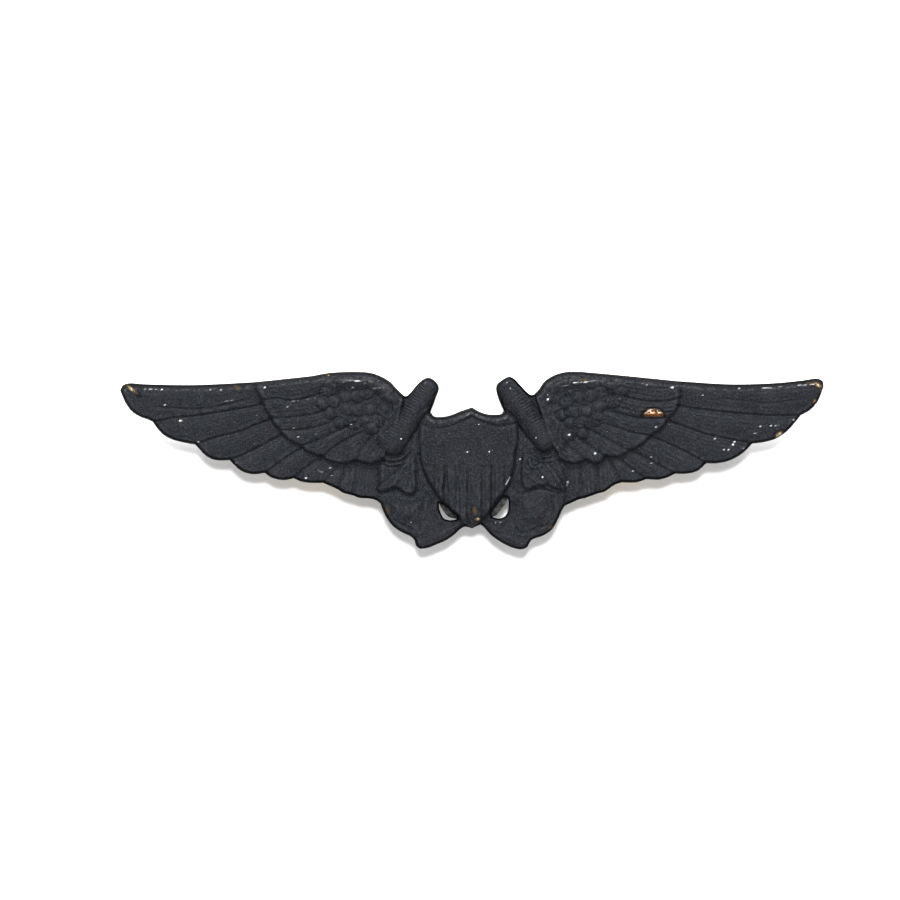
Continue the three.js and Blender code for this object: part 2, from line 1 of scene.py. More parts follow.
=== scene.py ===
"""Looks of the pilot wings pin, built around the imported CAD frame. Sizes below are in
millimetres unless they say otherwise; meshes are made in metres."""
import math
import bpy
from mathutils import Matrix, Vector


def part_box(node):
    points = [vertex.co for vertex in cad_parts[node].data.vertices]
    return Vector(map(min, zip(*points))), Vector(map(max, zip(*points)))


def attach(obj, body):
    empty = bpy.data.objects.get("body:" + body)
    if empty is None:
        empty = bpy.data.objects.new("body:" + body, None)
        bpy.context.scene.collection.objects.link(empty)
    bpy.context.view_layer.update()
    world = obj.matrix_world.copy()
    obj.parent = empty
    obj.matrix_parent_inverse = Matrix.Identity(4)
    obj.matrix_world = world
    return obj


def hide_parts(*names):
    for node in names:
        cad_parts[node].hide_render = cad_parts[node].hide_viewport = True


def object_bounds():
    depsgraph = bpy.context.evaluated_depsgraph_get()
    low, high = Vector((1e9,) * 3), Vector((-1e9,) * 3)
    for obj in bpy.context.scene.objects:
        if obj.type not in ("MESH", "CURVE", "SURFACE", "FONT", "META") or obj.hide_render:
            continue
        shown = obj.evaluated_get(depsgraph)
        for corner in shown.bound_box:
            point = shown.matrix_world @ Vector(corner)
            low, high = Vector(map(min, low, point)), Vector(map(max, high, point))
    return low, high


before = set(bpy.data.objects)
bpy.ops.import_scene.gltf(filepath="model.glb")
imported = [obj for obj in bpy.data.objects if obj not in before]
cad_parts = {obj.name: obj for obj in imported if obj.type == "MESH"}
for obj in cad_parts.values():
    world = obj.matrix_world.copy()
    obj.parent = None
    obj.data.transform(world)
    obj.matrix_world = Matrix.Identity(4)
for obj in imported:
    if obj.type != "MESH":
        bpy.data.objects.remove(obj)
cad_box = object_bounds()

from types import SimpleNamespace

import bpy
import numpy as np
from mathutils import Vector
from mathutils.geometry import delaunay_2d_cdt

MM = 0.001
BADGE_LOW, BADGE_HIGH = [np.array(c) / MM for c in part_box("wings_badge")]
BACK = BADGE_LOW[2]  # height of the badge's back plane

# ---------------- small geometry tools
def unit(t):
    return np.clip(t, 0, 1)


def soft(t):
    """Smooth step from 0 to 1."""
    t = unit(t)
    return t * t * (3 - 2 * t)


def bell(t):
    return np.exp(-t ** 2)


def points(text):
    """Numbers parted by commas, points by spaces."""
    return np.array([p.split(",") for p in text.split()], float)


def smooth(line, per=5):
    """Smooth (centripetal) curve through a line's points, as the CAD draws it."""
    p = np.array(line, float)
    if len(p) < 3:
        return p
    q = np.vstack([2 * p[0] - p[1], p, 2 * p[-1] - p[-2]])
    out = []
    for a, b, c, d in zip(q[:-3], q[1:-2], q[2:-1], q[3:]):
        t = np.cumsum([0] + [max(np.linalg.norm(v - u) ** 0.5, 1e-4) for u, v in ((a, b), (b, c), (c, d))])
        for s in np.linspace(t[1], t[2], per, endpoint=False):
            ab = ((t[1] - s) * a + (s - t[0]) * b) / (t[1] - t[0])
            bc = ((t[2] - s) * b + (s - t[1]) * c) / (t[2] - t[1])
            cd = ((t[3] - s) * c + (s - t[2]) * d) / (t[3] - t[2])
            abc = ((t[2] - s) * ab + (s - t[0]) * bc) / (t[2] - t[0])
            bcd = ((t[3] - s) * bc + (s - t[1]) * cd) / (t[3] - t[1])
            out.append(((t[2] - s) * abc + (s - t[1]) * bcd) / (t[2] - t[1]))
    return np.array(out + [p[-1]])


def follow(before, text):
    """A smooth run that starts where another one ends."""
    return smooth(np.vstack([before[-1:], points(text)]))


def read_wing(**w):
    """Reads the texts of one wing. A run starts where the one before it ends, so that point isn't
    repeated. Slashes part runs; single ridges have a row each."""
    for name in ("brow", "rim", "hole", "palm", "bowl", "scales", "rod"):
        w[name] = points(w[name])
    w["brow"], w["rim"] = smooth(w["brow"]), smooth(w["rim"])
    for name, before in (("stub", "brow"), ("shield", "brow"), ("shoulder", "stub"),
                         ("middle", "shoulder"), ("leading", "middle")):
        w[name] = follow(w[before], w[name])
    for name, before in (("tips", "leading"), ("tier", "middle")):
        runs = [w[before]]
        for row in w[name].split("/"):
            runs.append(follow(runs[-1], row))
        w[name] = runs[1:]
    w["arm"] = follow(w["tips"][-1], w["arm"])
    w["fluke"] = follow(w["arm"], w["fluke"])
    for name, ends in (("grooves", "tips"), ("coverts", "tier")):
        w[name] = [follow(end, row) for end, row in zip(w[ends], w[name].split("/"))]
    for name in ("lines", "quills"):  # height (a groove's is negative), half width, points
        rows = [row.split(None, 2) for row in w[name].splitlines()]
        w[name] = [(smooth(points(line)), float(high), float(half)) for high, half, line in rows]
    return SimpleNamespace(**w)


def chain(*runs):
    """Runs joined end to end, without repeated corners."""
    p = np.vstack(runs)
    keep = np.r_[True, np.linalg.norm(np.diff(p, axis=0), axis=1) > 1e-4]
    p = p[keep]
    return p[:-1] if np.linalg.norm(p[0] - p[-1]) < 1e-4 else p


def along(x, y, line):
    """Distance to a line, side of it (+1 left of its direction) and length along it."""
    best, side, place = np.full(x.shape, 1e9), np.zeros(x.shape), np.zeros(x.shape)
    run = 0.0
    for (ax, ay), (bx, by) in zip(line[:-1], line[1:]):
        dx, dy = bx - ax, by - ay
        length = math.hypot(dx, dy)
        if length < 1e-9:
            continue
        t = unit(((x - ax) * dx + (y - ay) * dy) / length ** 2)
        ex, ey = x - ax - t * dx, y - ay - t * dy
        d = ex * ex + ey * ey
        near = d < best
        best = np.where(near, d, best)
        side = np.where(near, np.sign(dx * ey - dy * ex), side)
        place = np.where(near, run + t * length, place)
        run += length
    return np.sqrt(best), side, place


def closed(ring):
    """A ring with its first point again at its end."""
    return np.vstack([ring, ring[:1]])


def off_ring(x, y, ring):
    """Distance to a closed ring."""
    return along(x, y, closed(ring))[0]


def left_normals(ring):
    """Unit normals on the left of a closed ring."""
    tangent = np.roll(ring, -1, axis=0) - np.roll(ring, 1, axis=0)
    tangent /= np.linalg.norm(tangent, axis=1)[:, None]
    return np.c_[-tangent[:, 1], tangent[:, 0]]


def mirrored(right, left=None):
    """A ring of two halves. Both are drawn on the right; the left one may just repeat the right."""
    left = right if left is None else left
    return chain(right, (left * [-1, 1])[::-1])


def inside(x, y, ring):
    """Even-odd test against a closed ring."""
    hit = np.zeros(x.shape, bool)
    for (ax, ay), (bx, by) in zip(ring, np.roll(ring, -1, axis=0)):
        if ay == by:
            continue
        cross = (ay > y) != (by > y)
        hit ^= cross & (x < ax + (y - ay) * (bx - ax) / (by - ay))
    return hit


def rounded(s, radius):
    """Quarter-round from 0 at the edge to 1 at a radius inside it."""
    return np.sqrt(unit(1 - (1 - unit(s / radius)) ** 2))


def noise(x, y, cell, seed):
    """Smooth value noise between -1 and 1."""
    grid = np.random.default_rng(seed).uniform(-1, 1, (256, 256))
    fx, fy = x / cell + 97.3, y / cell + 41.7
    ix, iy = np.floor(fx).astype(int), np.floor(fy).astype(int)
    tx, ty = soft(fx - ix), soft(fy - iy)
    low, high = [grid[(iy + j) % 256, ix % 256] * (1 - tx) + grid[(iy + j) % 256, (ix + 1) % 256] * tx
                 for j in (0, 1)]
    return low * (1 - ty) + high * ty


def lengthened(line, before, after):
    """A line carried straight on past its two ends."""
    first, last = line[0] - line[1], line[-1] - line[-2]
    return np.vstack([line[0] + first / np.linalg.norm(first) * before, line,
                      line[-1] + last / np.linalg.norm(last) * after])


def reaches(line):
    """Length along a line at each of its points."""
    return np.r_[0, np.cumsum(np.linalg.norm(np.diff(line, axis=0), axis=1))]


def span_of(line):
    return np.linalg.norm(np.diff(line, axis=0), axis=1).sum()


# ---------------- drawing of the badge
LEFT = read_wing(
    side=-1,
    brow="0,5.75 1.3,5.3 2.3,4.9 3.4,4.7 4.2,4.8 4.65,5.3",
    stub="4.05,6.9 3.7,7.95 3.95,8.5 4.7,9 5.25,8.85 6,8.2 6.65,7.4 7.15,6.98 7.45,7",
    shoulder="8.3,7.8 9,8.55 10.1,9.2 11.2,9.55 12.6,9.65 15.5,9.55 17.5,9.2",
    middle="21.6,8.75 23.9,8.52",
    leading="27.9,8.3 30.9,8.2 36,8.3 37.6,8.4 38.2,8.2 38.5,7.7",
    tips="""37.85,6.3 37.2,5.45 36.35,4.9 35.4,4.55 34.9,4.3 / 34.5,3.7 33.75,2.9 32.8,2.4 31.7,2.1
    30.3,1.85 / 29.1,0.6 28.3,0.2 27.45,0.1 26.55,0.15 / 25.4,-0.95 24.6,-1.3 23.75,-1.4 22.65,-1.25 /
    22,-1.75 20.7,-2.05 19.5,-1.85 / 18.7,-2.2 17.75,-2.35 16.3,-2.35 / 14.8,-3 / 14.05,-3.45 13.1,-3.7
    / 12.25,-4 11.3,-4.05 10.5,-4.25 9.95,-4.65""",
    arm="9.55,-5.7 9.1,-6.5 8.45,-7.25 7.6,-7.8 6.65,-8.25 6.2,-8.7",
    fluke="6.05,-9.25 5.7,-9.55 4.75,-9.45 3.9,-9.1 2.95,-8.7 2,-8.05 1.2,-7.35 0.7,-7.15 0,-7.35",
    grooves="""32.8,4.75 30.1,5 27.3,5.45 22.5,6.3 / 27.6,2.75 25.4,3.3 23.5,4.1 21,4.9 / 24.6,0.95
    23.2,1.65 21.8,2.4 20,3.4 / 21.9,-0.7 20.05,0.65 17.5,2.1 / 18.45,-0.85 15.8,1.1 / 15.4,-1.4
    13.9,0.2 / 14.4,-2.1 13.9,-0.1 / 12.9,-2.6 12.7,0.1""",
    tier="""23.4,7.3 23.1,6.6 / 22.8,5.9 22,4.65 / 21.7,4 21.15,3.45 / 20.6,2.7 19.8,2.1 18.8,1.65 /
    18.2,1.1 17.3,0.7 16.4,0.45 / 15.6,-0.05 14.5,-0.3 13.4,-0.3 12.65,0 / 11.3,-0.4 10.3,-0.2 9.5,0.2""",
    coverts="""21.6,6.9 19.5,6.65 16.6,7.4 / 18.15,5 15.8,5.6 / 17.75,3.6 14.7,4.6 / 16.65,2.45 13.9,3.75 /
    14.7,1.85 12,3.3 / 12.4,0.9 11,2.8""",
    shield="""5.55,4.45 5.8,3.35 5.8,1.7 5.7,0.35 5.35,-1.05 4.85,-2.15 4.05,-3.5 3.1,-4.75 2.15,-5.7
    1.3,-6.5 0,-7.35""",
    rim="5.55,4.25 4.6,3.8 3.65,3.7 2.4,3.95 1.3,4.35 0,5.05",
    hole="3.6,-4.6 2.95,-4.95 2.15,-5.65 1.55,-6.2 1.75,-6.45 2.4,-6.55 3,-6.4 3.35,-5.9 3.6,-5.2",
    palm="""6.4,1.15 7.5,-0.1 9,-1.4 10.2,-2.5 10.5,-3.15 10.05,-3.5 9.2,-3.4 8.4,-3.15 7.8,-3.45 7.3,-3.8
    6.7,-3.9 6.15,-3.55 5.9,-3.1 6,-1.4""",
    bowl="9.3,-4.4 8,-4.2 6.6,-4.5 5.6,-4.4 5.5,-5.4 6,-6.4 7,-7 8,-6.7 8.9,-5.8",
    scales="""15.2,7.75 13.85,6.95 12.55,7 11.6,7.2 16.25,6.3 15.1,6.45 13.75,5.6 12.5,5.55 14.5,4.1
    12.95,4.1 11.65,4.3 10.95,3.45 10.3,4.3 11.2,5.6 15.9,7.3 15.5,5.2""",
    rod="4.7,8,1.1 8.65,1.9,1.4",
    lines="""-0.12 0.13  10.6,-3.2 10.05,-3.6 9.2,-3.5 8.4,-3.2 7.8,-3.55 7.3,-3.9 6.7,-4 6.15,-3.65 5.85,-3.1
    -0.13 0.15  6.75,0.9 6.7,0 6.8,-1.4 7,-2.5 7.3,-3.3
    -0.12 0.13  6.15,0.9 5.9,-0.4 5.95,-1.8 5.8,-2.9
    0.08 0.14  6.4,0.8 6.3,-0.8 6.35,-2.2 6.3,-3.2
    0.1 0.26  7,0.4 7.7,-1 8.3,-2 8.9,-3
    -0.07 0.16  7.3,0.1 8.6,-1.1 9.9,-2.6
    -0.09 0.14  7.6,-1.9 8.2,-2.7 8.4,-3
    -0.07 0.14  9,-2.1 9.5,-2.8 9.4,-3.3
    -0.08 0.12  9.5,-3.7 9.35,-4.3 9.3,-4.9
    -0.09 0.12  7.95,-3.7 7.8,-4.3
    0.08 0.1  6.9,-4.15 6.5,-4.35 6.1,-4.1
    -0.17 0.12  8.75,-6.3 7.8,-6.86 6.85,-7.34 6.15,-7.65
    -0.14 0.17  4.9,-3.4 5.27,-4.46 5.5,-5.42 5.85,-6.5 5.75,-7.9
    -0.07 0.15  4.45,-3.6 4.85,-5.4 5.05,-7
    0.06 0.2  8.3,-4.6 8.2,-5.4 8.3,-6.2
    0.06 0.22  7.2,-4.7 7.1,-5.5 7.2,-6.5
    0.1 0.16  5.3,-2.7 4.5,-3.8 3.85,-4.75
    -0.07 0.1  33.6,2.95 32.6,2.65 31.6,2.55 30.6,2.45""",
    quills="""-0.11 0.13  35.5,5.95 33.5,5.8 30,5.65 27.35,6.05 25.2,6.55 23.6,6.95
    0.03 0.2  36.8,7.4 33.6,7 30,6.85
    0.03 0.16  31.5,3.6 28.4,4 25.6,4.7
    0.03 0.16  27.6,1.6 25,2.3 22.9,3.3
    0.03 0.16  24,-0.2 22.2,0.9 20.4,2""",
    ridged=(0, 1), dome=None, swirl=(9.4, 5.95, 1.2), ropes=(200, 318), barbs=0.6,
)
RIGHT = read_wing(
    side=1,
    brow="0,5.75 0.75,5.3 1.7,5 2.5,4.95 3.3,5.05 3.6,5.45",
    stub="3.05,6.75 2.75,7.7 2.8,8.25 3.35,8.75 4.05,9.1 4.5,8.95 5.25,8.2 5.95,7.45 6.5,7.1 6.9,7.2",
    shoulder="7.45,7.8 8,8.6 8.7,9.1 9.5,9.45 10.5,9.65 11.9,9.65 13.2,9.55 17,9.2",
    middle="21.4,8.75 22.6,8.63",
    leading="27.7,8.3 30.85,8.3 33.75,8.45 36.2,8.7 37.9,8.9 38.4,8.65 38.5,8.15",
    tips="""37.85,6.55 37,5.6 36,5.05 / 35.4,4.3 34.55,3.35 33.3,2.5 31.95,2.1 30.7,1.95 / 29.65,0.9
    28.25,0.1 26.9,-0.2 25.65,-0.2 / 24.7,-1.05 23.45,-1.35 22.25,-1.35 / 21.3,-1.8 20.45,-2 19.1,-1.95
    / 18,-2.3 16.4,-2.3 / 15.55,-2.6 14.55,-3.3 13.8,-3.5 / 12.4,-4 11.7,-4.15 / 10.75,-4.6
    10.15,-4.85""",
    arm="9.8,-5.4 9.35,-6.4 8.7,-7.5 7.85,-8.1 6.55,-8.6 6.2,-9.05",
    fluke="5.95,-9.45 5.4,-9.65 4.3,-9.4 3.05,-8.75 2.1,-8.05 1.3,-7.15 0.9,-6.95 0.5,-7.1 0,-7.35",
    grooves="""32.65,5.05 27.7,5.4 22.2,6.1 / 27.15,2.65 25.5,3 23.6,3.7 21.3,4.5 / 24.15,0.65 21.7,1.85
    19,3 / 20.3,-0.3 17.3,1.3 / 17.6,-0.9 15.5,0.8 / 15.9,-1.2 14.9,0.5 / 13.9,-2.5 13.6,0.1 / 12,-3
    11.9,0.2""",
    tier="""22.85,7.4 22.8,6.9 / 22.5,5.8 21.7,4.7 / 20.7,3.5 19.65,2.8 / 18.6,1.8 17.3,1.1 / 16.75,0.75
    15.7,0.35 14.6,0.5 / 14.3,0 13.6,-0.35 12.9,-0.15 12.4,0.05 / 11.7,-0.3 10.45,-0.25 9.6,0.1""",
    coverts="""20.75,6.55 18.7,6.65 16.2,7.2 / 18,4.8 15,5.55 / 17.3,3.2 14.2,4.3 / 15.25,2.25 12.8,3.55 /
    12.5,2 11.4,2.8 / 11.85,0.6 10.2,1.95""",
    shield="""4.9,4.4 5.05,3.35 5.05,2.25 4.85,0.9 4.65,-0.65 4.3,-2 3.75,-3.25 2.95,-4.3 1.95,-5.7
    0.9,-6.65 0,-7.35""",
    rim="4.9,4.35 4.4,4.2 2.9,3.95 1.3,4.35 0,5.05",
    hole="""3.6,-3.95 3.95,-4.2 4.05,-4.75 3.9,-5.7 3.6,-6.15 2.95,-6.35 2.25,-6.15 2.15,-5.65 2.65,-5
    3.2,-4.25""",
    palm="""5.4,0.6 6.4,0.95 7.6,0.6 8.6,-0.3 9.6,-1.5 10.3,-2.7 10.2,-3.3 9,-3.2 7.4,-2.9 6.4,-3.3 5.5,-3
    5.2,-1.2""",
    bowl="5.2,-3.9 6.4,-3.7 8.3,-3.8 8.75,-4.6 8.65,-5.8 8,-6.7 6.8,-7.1 5.7,-6.7 5.1,-5.6 5,-4.7",
    scales="""15.3,7.9 14,7.5 12.9,7.05 11.6,6.9 15.35,6.4 14,5.85 12.45,5.4 11.1,5.25 13.5,4.3 12.2,4.1
    10.8,4.1 10.6,2.75 10.3,6.3 9.9,4.9 16.3,7.3 12.1,2.9""",
    rod="3.72,7.95,1.12 8,2.3,1.4",
    lines="""0.1 0.14  5.5,-0.5 6,0.5 6.95,0.85 7.9,0.45 8.7,-0.45 9.3,-1.6 9.8,-2.9
    -0.12 0.13  7.6,0.1 8.3,-0.8 8.9,-1.9 9.2,-2.8
    0.08 0.16  7.2,-0.6 7.9,-1.4 8.6,-2.4
    -0.09 0.14  6.4,-0.9 7.2,-1.7 8,-2.6
    0.07 0.15  5.7,-0.9 6.4,-1.7 7.2,-2.5
    0.1 0.12  8.8,1.3 9.7,0.35 10.7,-0.6 11.1,-1
    -0.12 0.13  8.6,0.8 9.5,-0.2 10.3,-1.4
    0.08 0.13  9.2,-0.6 9.9,-1.6 10.4,-2.6
    -0.17 0.12  7.8,-2.4 8.76,-2.95 10,-3.5 10.6,-3.55
    -0.15 0.11  6.1,-3.4 7.5,-3.1 8.9,-3.4 10,-3.8
    0.07 0.1  7.6,-2.75 8.8,-3.2 9.9,-3.65
    -0.14 0.14  4.4,-2.8 5.35,-3.65 6,-3.5 6.6,-3.8
    0.08 0.1  6.3,-3.85 6.7,-4.05 7.1,-3.85
    0.06 0.12  4.9,1.3 4.95,-0.5 4.8,-1.6
    -0.1 0.13  8.8,-3.8 8.85,-5.2 8.75,-6.8
    -0.14 0.2  4.4,-4.3 4.8,-5.4 5.2,-6.3
    -0.16 0.12  6.1,-7.75 7.26,-7.34 8.2,-7 8.7,-6.4
    -0.1 0.13  4.55,-6.6 5.1,-7.75 5.8,-7.95 6.2,-7.7
    -0.05 0.18  5.6,-4.3 5.4,-5.4 5.8,-6.7
    0.08 0.15  5,-3.1 4.3,-3.8 3.95,-3.5
    -0.06 0.1  29.6,1.6 28.2,1.75 26,2.05 24.4,2.45""",
    quills="""-0.08 0.12  37.15,6.95 34.85,6.55 32.65,6.3 30.45,6.5 26.2,6.9
    0.03 0.2  36.9,7.7 33.6,7.2 30,7.2
    0.03 0.16  33.2,3.6 29,3.8 25,4.8
    -0.05 0.1  23.6,-0.5 21.8,0.5 19.6,1.6
    -0.04 0.1  24.6,-0.2 22.6,0.75 20.4,1.9""",
    ridged=(0.3, 0.85), dome=(6.95, -0.05, 0.95), swirl=(8.9, 6.3, 0.8), ropes=(215, 300), barbs=1,
)
# Half of the hollow in the back
RECESS = points("""0,3.2 5,4.2 8.6,5.9 11.2,8.2 16,8.1 22,7.3 28,6.9 30.6,6.6 30.8,5.6 28.6,3.6 24.6,1.7
    20.6,0 16,-0.7 11.6,-1.8 8.4,-2.6 4.6,-2.6 0,-3.4""")
# Flutes of the shield: x, strength
FLUTES = points("-4.15,0.6 -3.08,1.3 -1.8,0.8 -0.52,1 1.05,0.8 2.12,1.5 3.55,0.8")
# Bare metal where the paint has chipped: x, y, half length, half width, turn in degrees, strength
CHIPS = points("""-37.3,7.85,0.62,0.17,-38,0.9 -25.75,8,0.36,0.18,-40,0.5 -9.2,-5.4,0.42,0.2,-80,0.3
    37.9,8.3,0.5,0.22,-30,0.9 37,8.5,0.4,0.12,5,0.5 38.15,7.8,0.3,0.14,-80,0.5 37.5,6.52,0.26,0.13,60,0.75
    33.6,2.86,0.42,0.2,35,1 8.6,-7.3,0.24,0.13,40,0.5 0.33,-5.5,0.36,0.2,100,0.55 0.64,-6.4,0.26,0.16,10,1
    -15.7,9.34,0.16,0.07,-5,1 12.2,8.86,0.3,0.12,0,0.5""")
HALF_MOON = (19.85, 4.85, 1.05, 0.8)  # the largest chip: middle of its straight side, half axes
# Small white glints: x, y, radius
GLINTS = points("""-31.9,4.37,0.17 -30,2.04,0.1 -25.75,-0.25,0.1 -33.6,6.1,0.08 -33.95,7.79,0.1
    -34.65,7.79,0.06 -28.6,7.76,0.07 -27.5,7.75,0.07 -22.7,8,0.13 -20.2,5.9,0.06 -19.55,3.55,0.06
    -17.1,2.95,0.1 -15.8,0.38,0.06 -15.6,5.06,0.06 -13.2,3.97,0.06 -13.1,8,0.1 -7.75,2.38,0.11
    -15.5,-0.8,0.07 -15.3,-1.64,0.08 -13.8,-0.9,0.07 -14.3,-1.94,0.06 -18.2,-1.9,0.11 -19,2.6,0.06
    -6.66,-6.78,0.06 -0.5,0.94,0.1 1.9,0.98,0.1 0.75,3.97,0.07 5.27,0.17,0.09 7.73,-1.8,0.12
    3.14,-6.78,0.06 2.6,-6.8,0.05 3.83,8.55,0.06 4.2,7.9,0.06 -5.1,8.55,0.05 7,2.5,0.08 8.3,6.7,0.16
    8.3,7.2,0.05 10.6,2.83,0.16 13.5,0.79,0.15 21.9,8,0.18 17.9,3.2,0.08 20.1,3.67,0.08 19.7,-0.27,0.11
    19.6,0.4,0.06 17.6,-1.14,0.08 29.3,7.9,0.1 25.3,7.17,0.06 31,3,0.12 35.2,4.46,0.09 31.6,3.75,0.07
    32.75,3.82,0.07 33.2,3.82,0.08 33.65,3.86,0.09 26.7,2.7,0.07 26.6,2.4,0.07 27.6,1.2,0.07 28.1,1.2,0.08
    28.6,1.76,0.15 28.8,2.05,0.12 30,1.56,0.07 29.8,1.35,0.06 16.1,6.8,0.05 17.4,0.8,0.05 18.7,8.42,0.08
    19.1,8.3,0.06""")
# Thin bright streaks, mostly painted highlights along edges and crests, a few scratches: x0, y0, x1, y1, half
# width, strength
HIGHLIGHT_STREAKS = points("""-17.1,-0.95,-16.2,-1.34,0.05,0.8 3.72,-2.6,4.17,-1.78,0.05,1
    10.46,-2.3,10.46,-2.75,0.06,0.9 -35.8,7.83,-35,7.83,0.05,0.7 -13.6,8.7,-12.3,8.72,0.08,1
    -14.6,8.55,-13.7,8.66,0.03,0.5 -12.2,8.66,-11.3,8.32,0.04,0.5 -11,7.9,-10,7.95,0.04,0.5
    11.1,8.52,12.6,8.6,0.08,1 12.7,8.65,13.8,8.8,0.05,0.5 9.6,8.1,10.6,8.25,0.05,0.4
    31.8,7.95,32.8,7.97,0.05,0.9 33.6,8.08,34.5,8.12,0.04,0.7 35.1,8.2,37.4,8.36,0.05,0.9
    -19.7,6.5,-17.1,6.83,0.03,0.45 -27,6.5,-25.7,6.7,0.03,0.4 -1,4.6,-0.3,5.1,0.03,0.3
    0.2,5.1,1.2,4.75,0.03,0.35 3.3,4.6,4.3,4.65,0.03,0.3""")

# ---------------- relief of the face
EDGE_WALL = 0.7  # straight wall under the rounded edge
EDGE_ROUND = 0.32
HOLE_SLOPE = 0.7  # how far the wall of a hole leans in
FEATHER_TOP, FEATHER_STEP = 1.8, 0.1  # each feather lies a step lower than the one above it
COVERT_TOP, COVERT_STEP = 2.38, 0.08
FEATHER_DEPTH, COVERT_DEPTH = 0.22, 0.2  # from a feather's back to its groove
LOWEST_BAND = 1.2  # width of the band below the last groove
WEB_TOP, BOWL_TOP, PALM_TOP, FLUKE_TOP = 1.42, 1.7, 1.78, 1.55
SHIELD_TOP, SHIELD_CROWN = 2.55, 26  # height and radius of the shield's crowned face
FLUTE_DEPTH = 0.2
SCALE_SIZE, SCALE_RISE, SCALE_SQUASH = 0.72, 0.3, 1.06
ROD_AXIS = 1.1
ROD_RIDGE, RIB = 0.35, 0.45  # spacing of the rod's cross ridges and of the ribs beside the web
ROPE_TURNS = ((1.62, -0.12), (1.86, 0.16), (2.1, -0.12), (2.34, 0.12), (2.62, -0.06))  # radius, rise


def feather_bands(x, y, grooves, first, last, outer, inner):
    """Which feather a point is on, how far across it (0 top to 1 bottom), its width and
    how far past the inner end of its lower groove it lies."""
    far, past = [], []
    for line in grooves:
        d, side, place = along(x, y, lengthened(line, outer, inner))
        far.append(d * side)
        past.append(place - outer - span_of(line))
    far, past = np.array(far), np.array(past)
    k = (far > 0).sum(axis=0)
    n = len(grooves)
    upper, lower = [np.clip(i, 0, n - 1)[None] for i in (k - 1, k)]
    up = np.where(k == 0, first, np.take_along_axis(far, upper, 0)[0])
    down = np.where(k == n, last, -np.take_along_axis(far, lower, 0)[0])
    up, down = np.maximum(up, 1e-3), np.maximum(down, 1e-3)
    return k, up / (up + down), up + down, np.take_along_axis(past, lower, 0)[0]


def feather_profile(t, width):
    """Rises to a thin raised line below the upper groove, droops towards the lower one."""
    body = soft(t / 0.3) * (1 - 0.5 * soft((t - 0.5) / 0.5))
    down = t * width
    near = np.minimum(down, width - down)
    return body - 0.4 * bell(near / 0.1) + 0.32 * bell((down - 0.25) / 0.08)


def barbs(x, y, t, width, seed):
    """Fine lines running along a feather."""
    count = np.clip(np.round(width * 2.2), 3, 9)
    wave = np.sin(2 * np.pi * (t * count + 0.25 * noise(x, y, 3, seed)))
    return wave * (0.45 + 0.55 * noise(x, y, 1.3, seed + 1)) * soft(t / 0.15) * soft((1 - t) / 0.15)


def pad(h, x, y, ring, top, radius):
    """Raises a patch to the given height, with a soft edge."""
    ring = smooth(closed(ring), 4)[:-1]
    rise = soft(np.where(inside(x, y, ring), off_ring(x, y, ring), 0) / radius)
    return h + (np.maximum(top, h) - h) * rise


def ridge(x, y, line, high, half, fade):
    """A single ridge or groove that fades out at its two ends."""
    d, _, place = along(x, y, line)
    return high * bell(d / half) * soft(place / fade) * soft((span_of(line) - place) / fade)


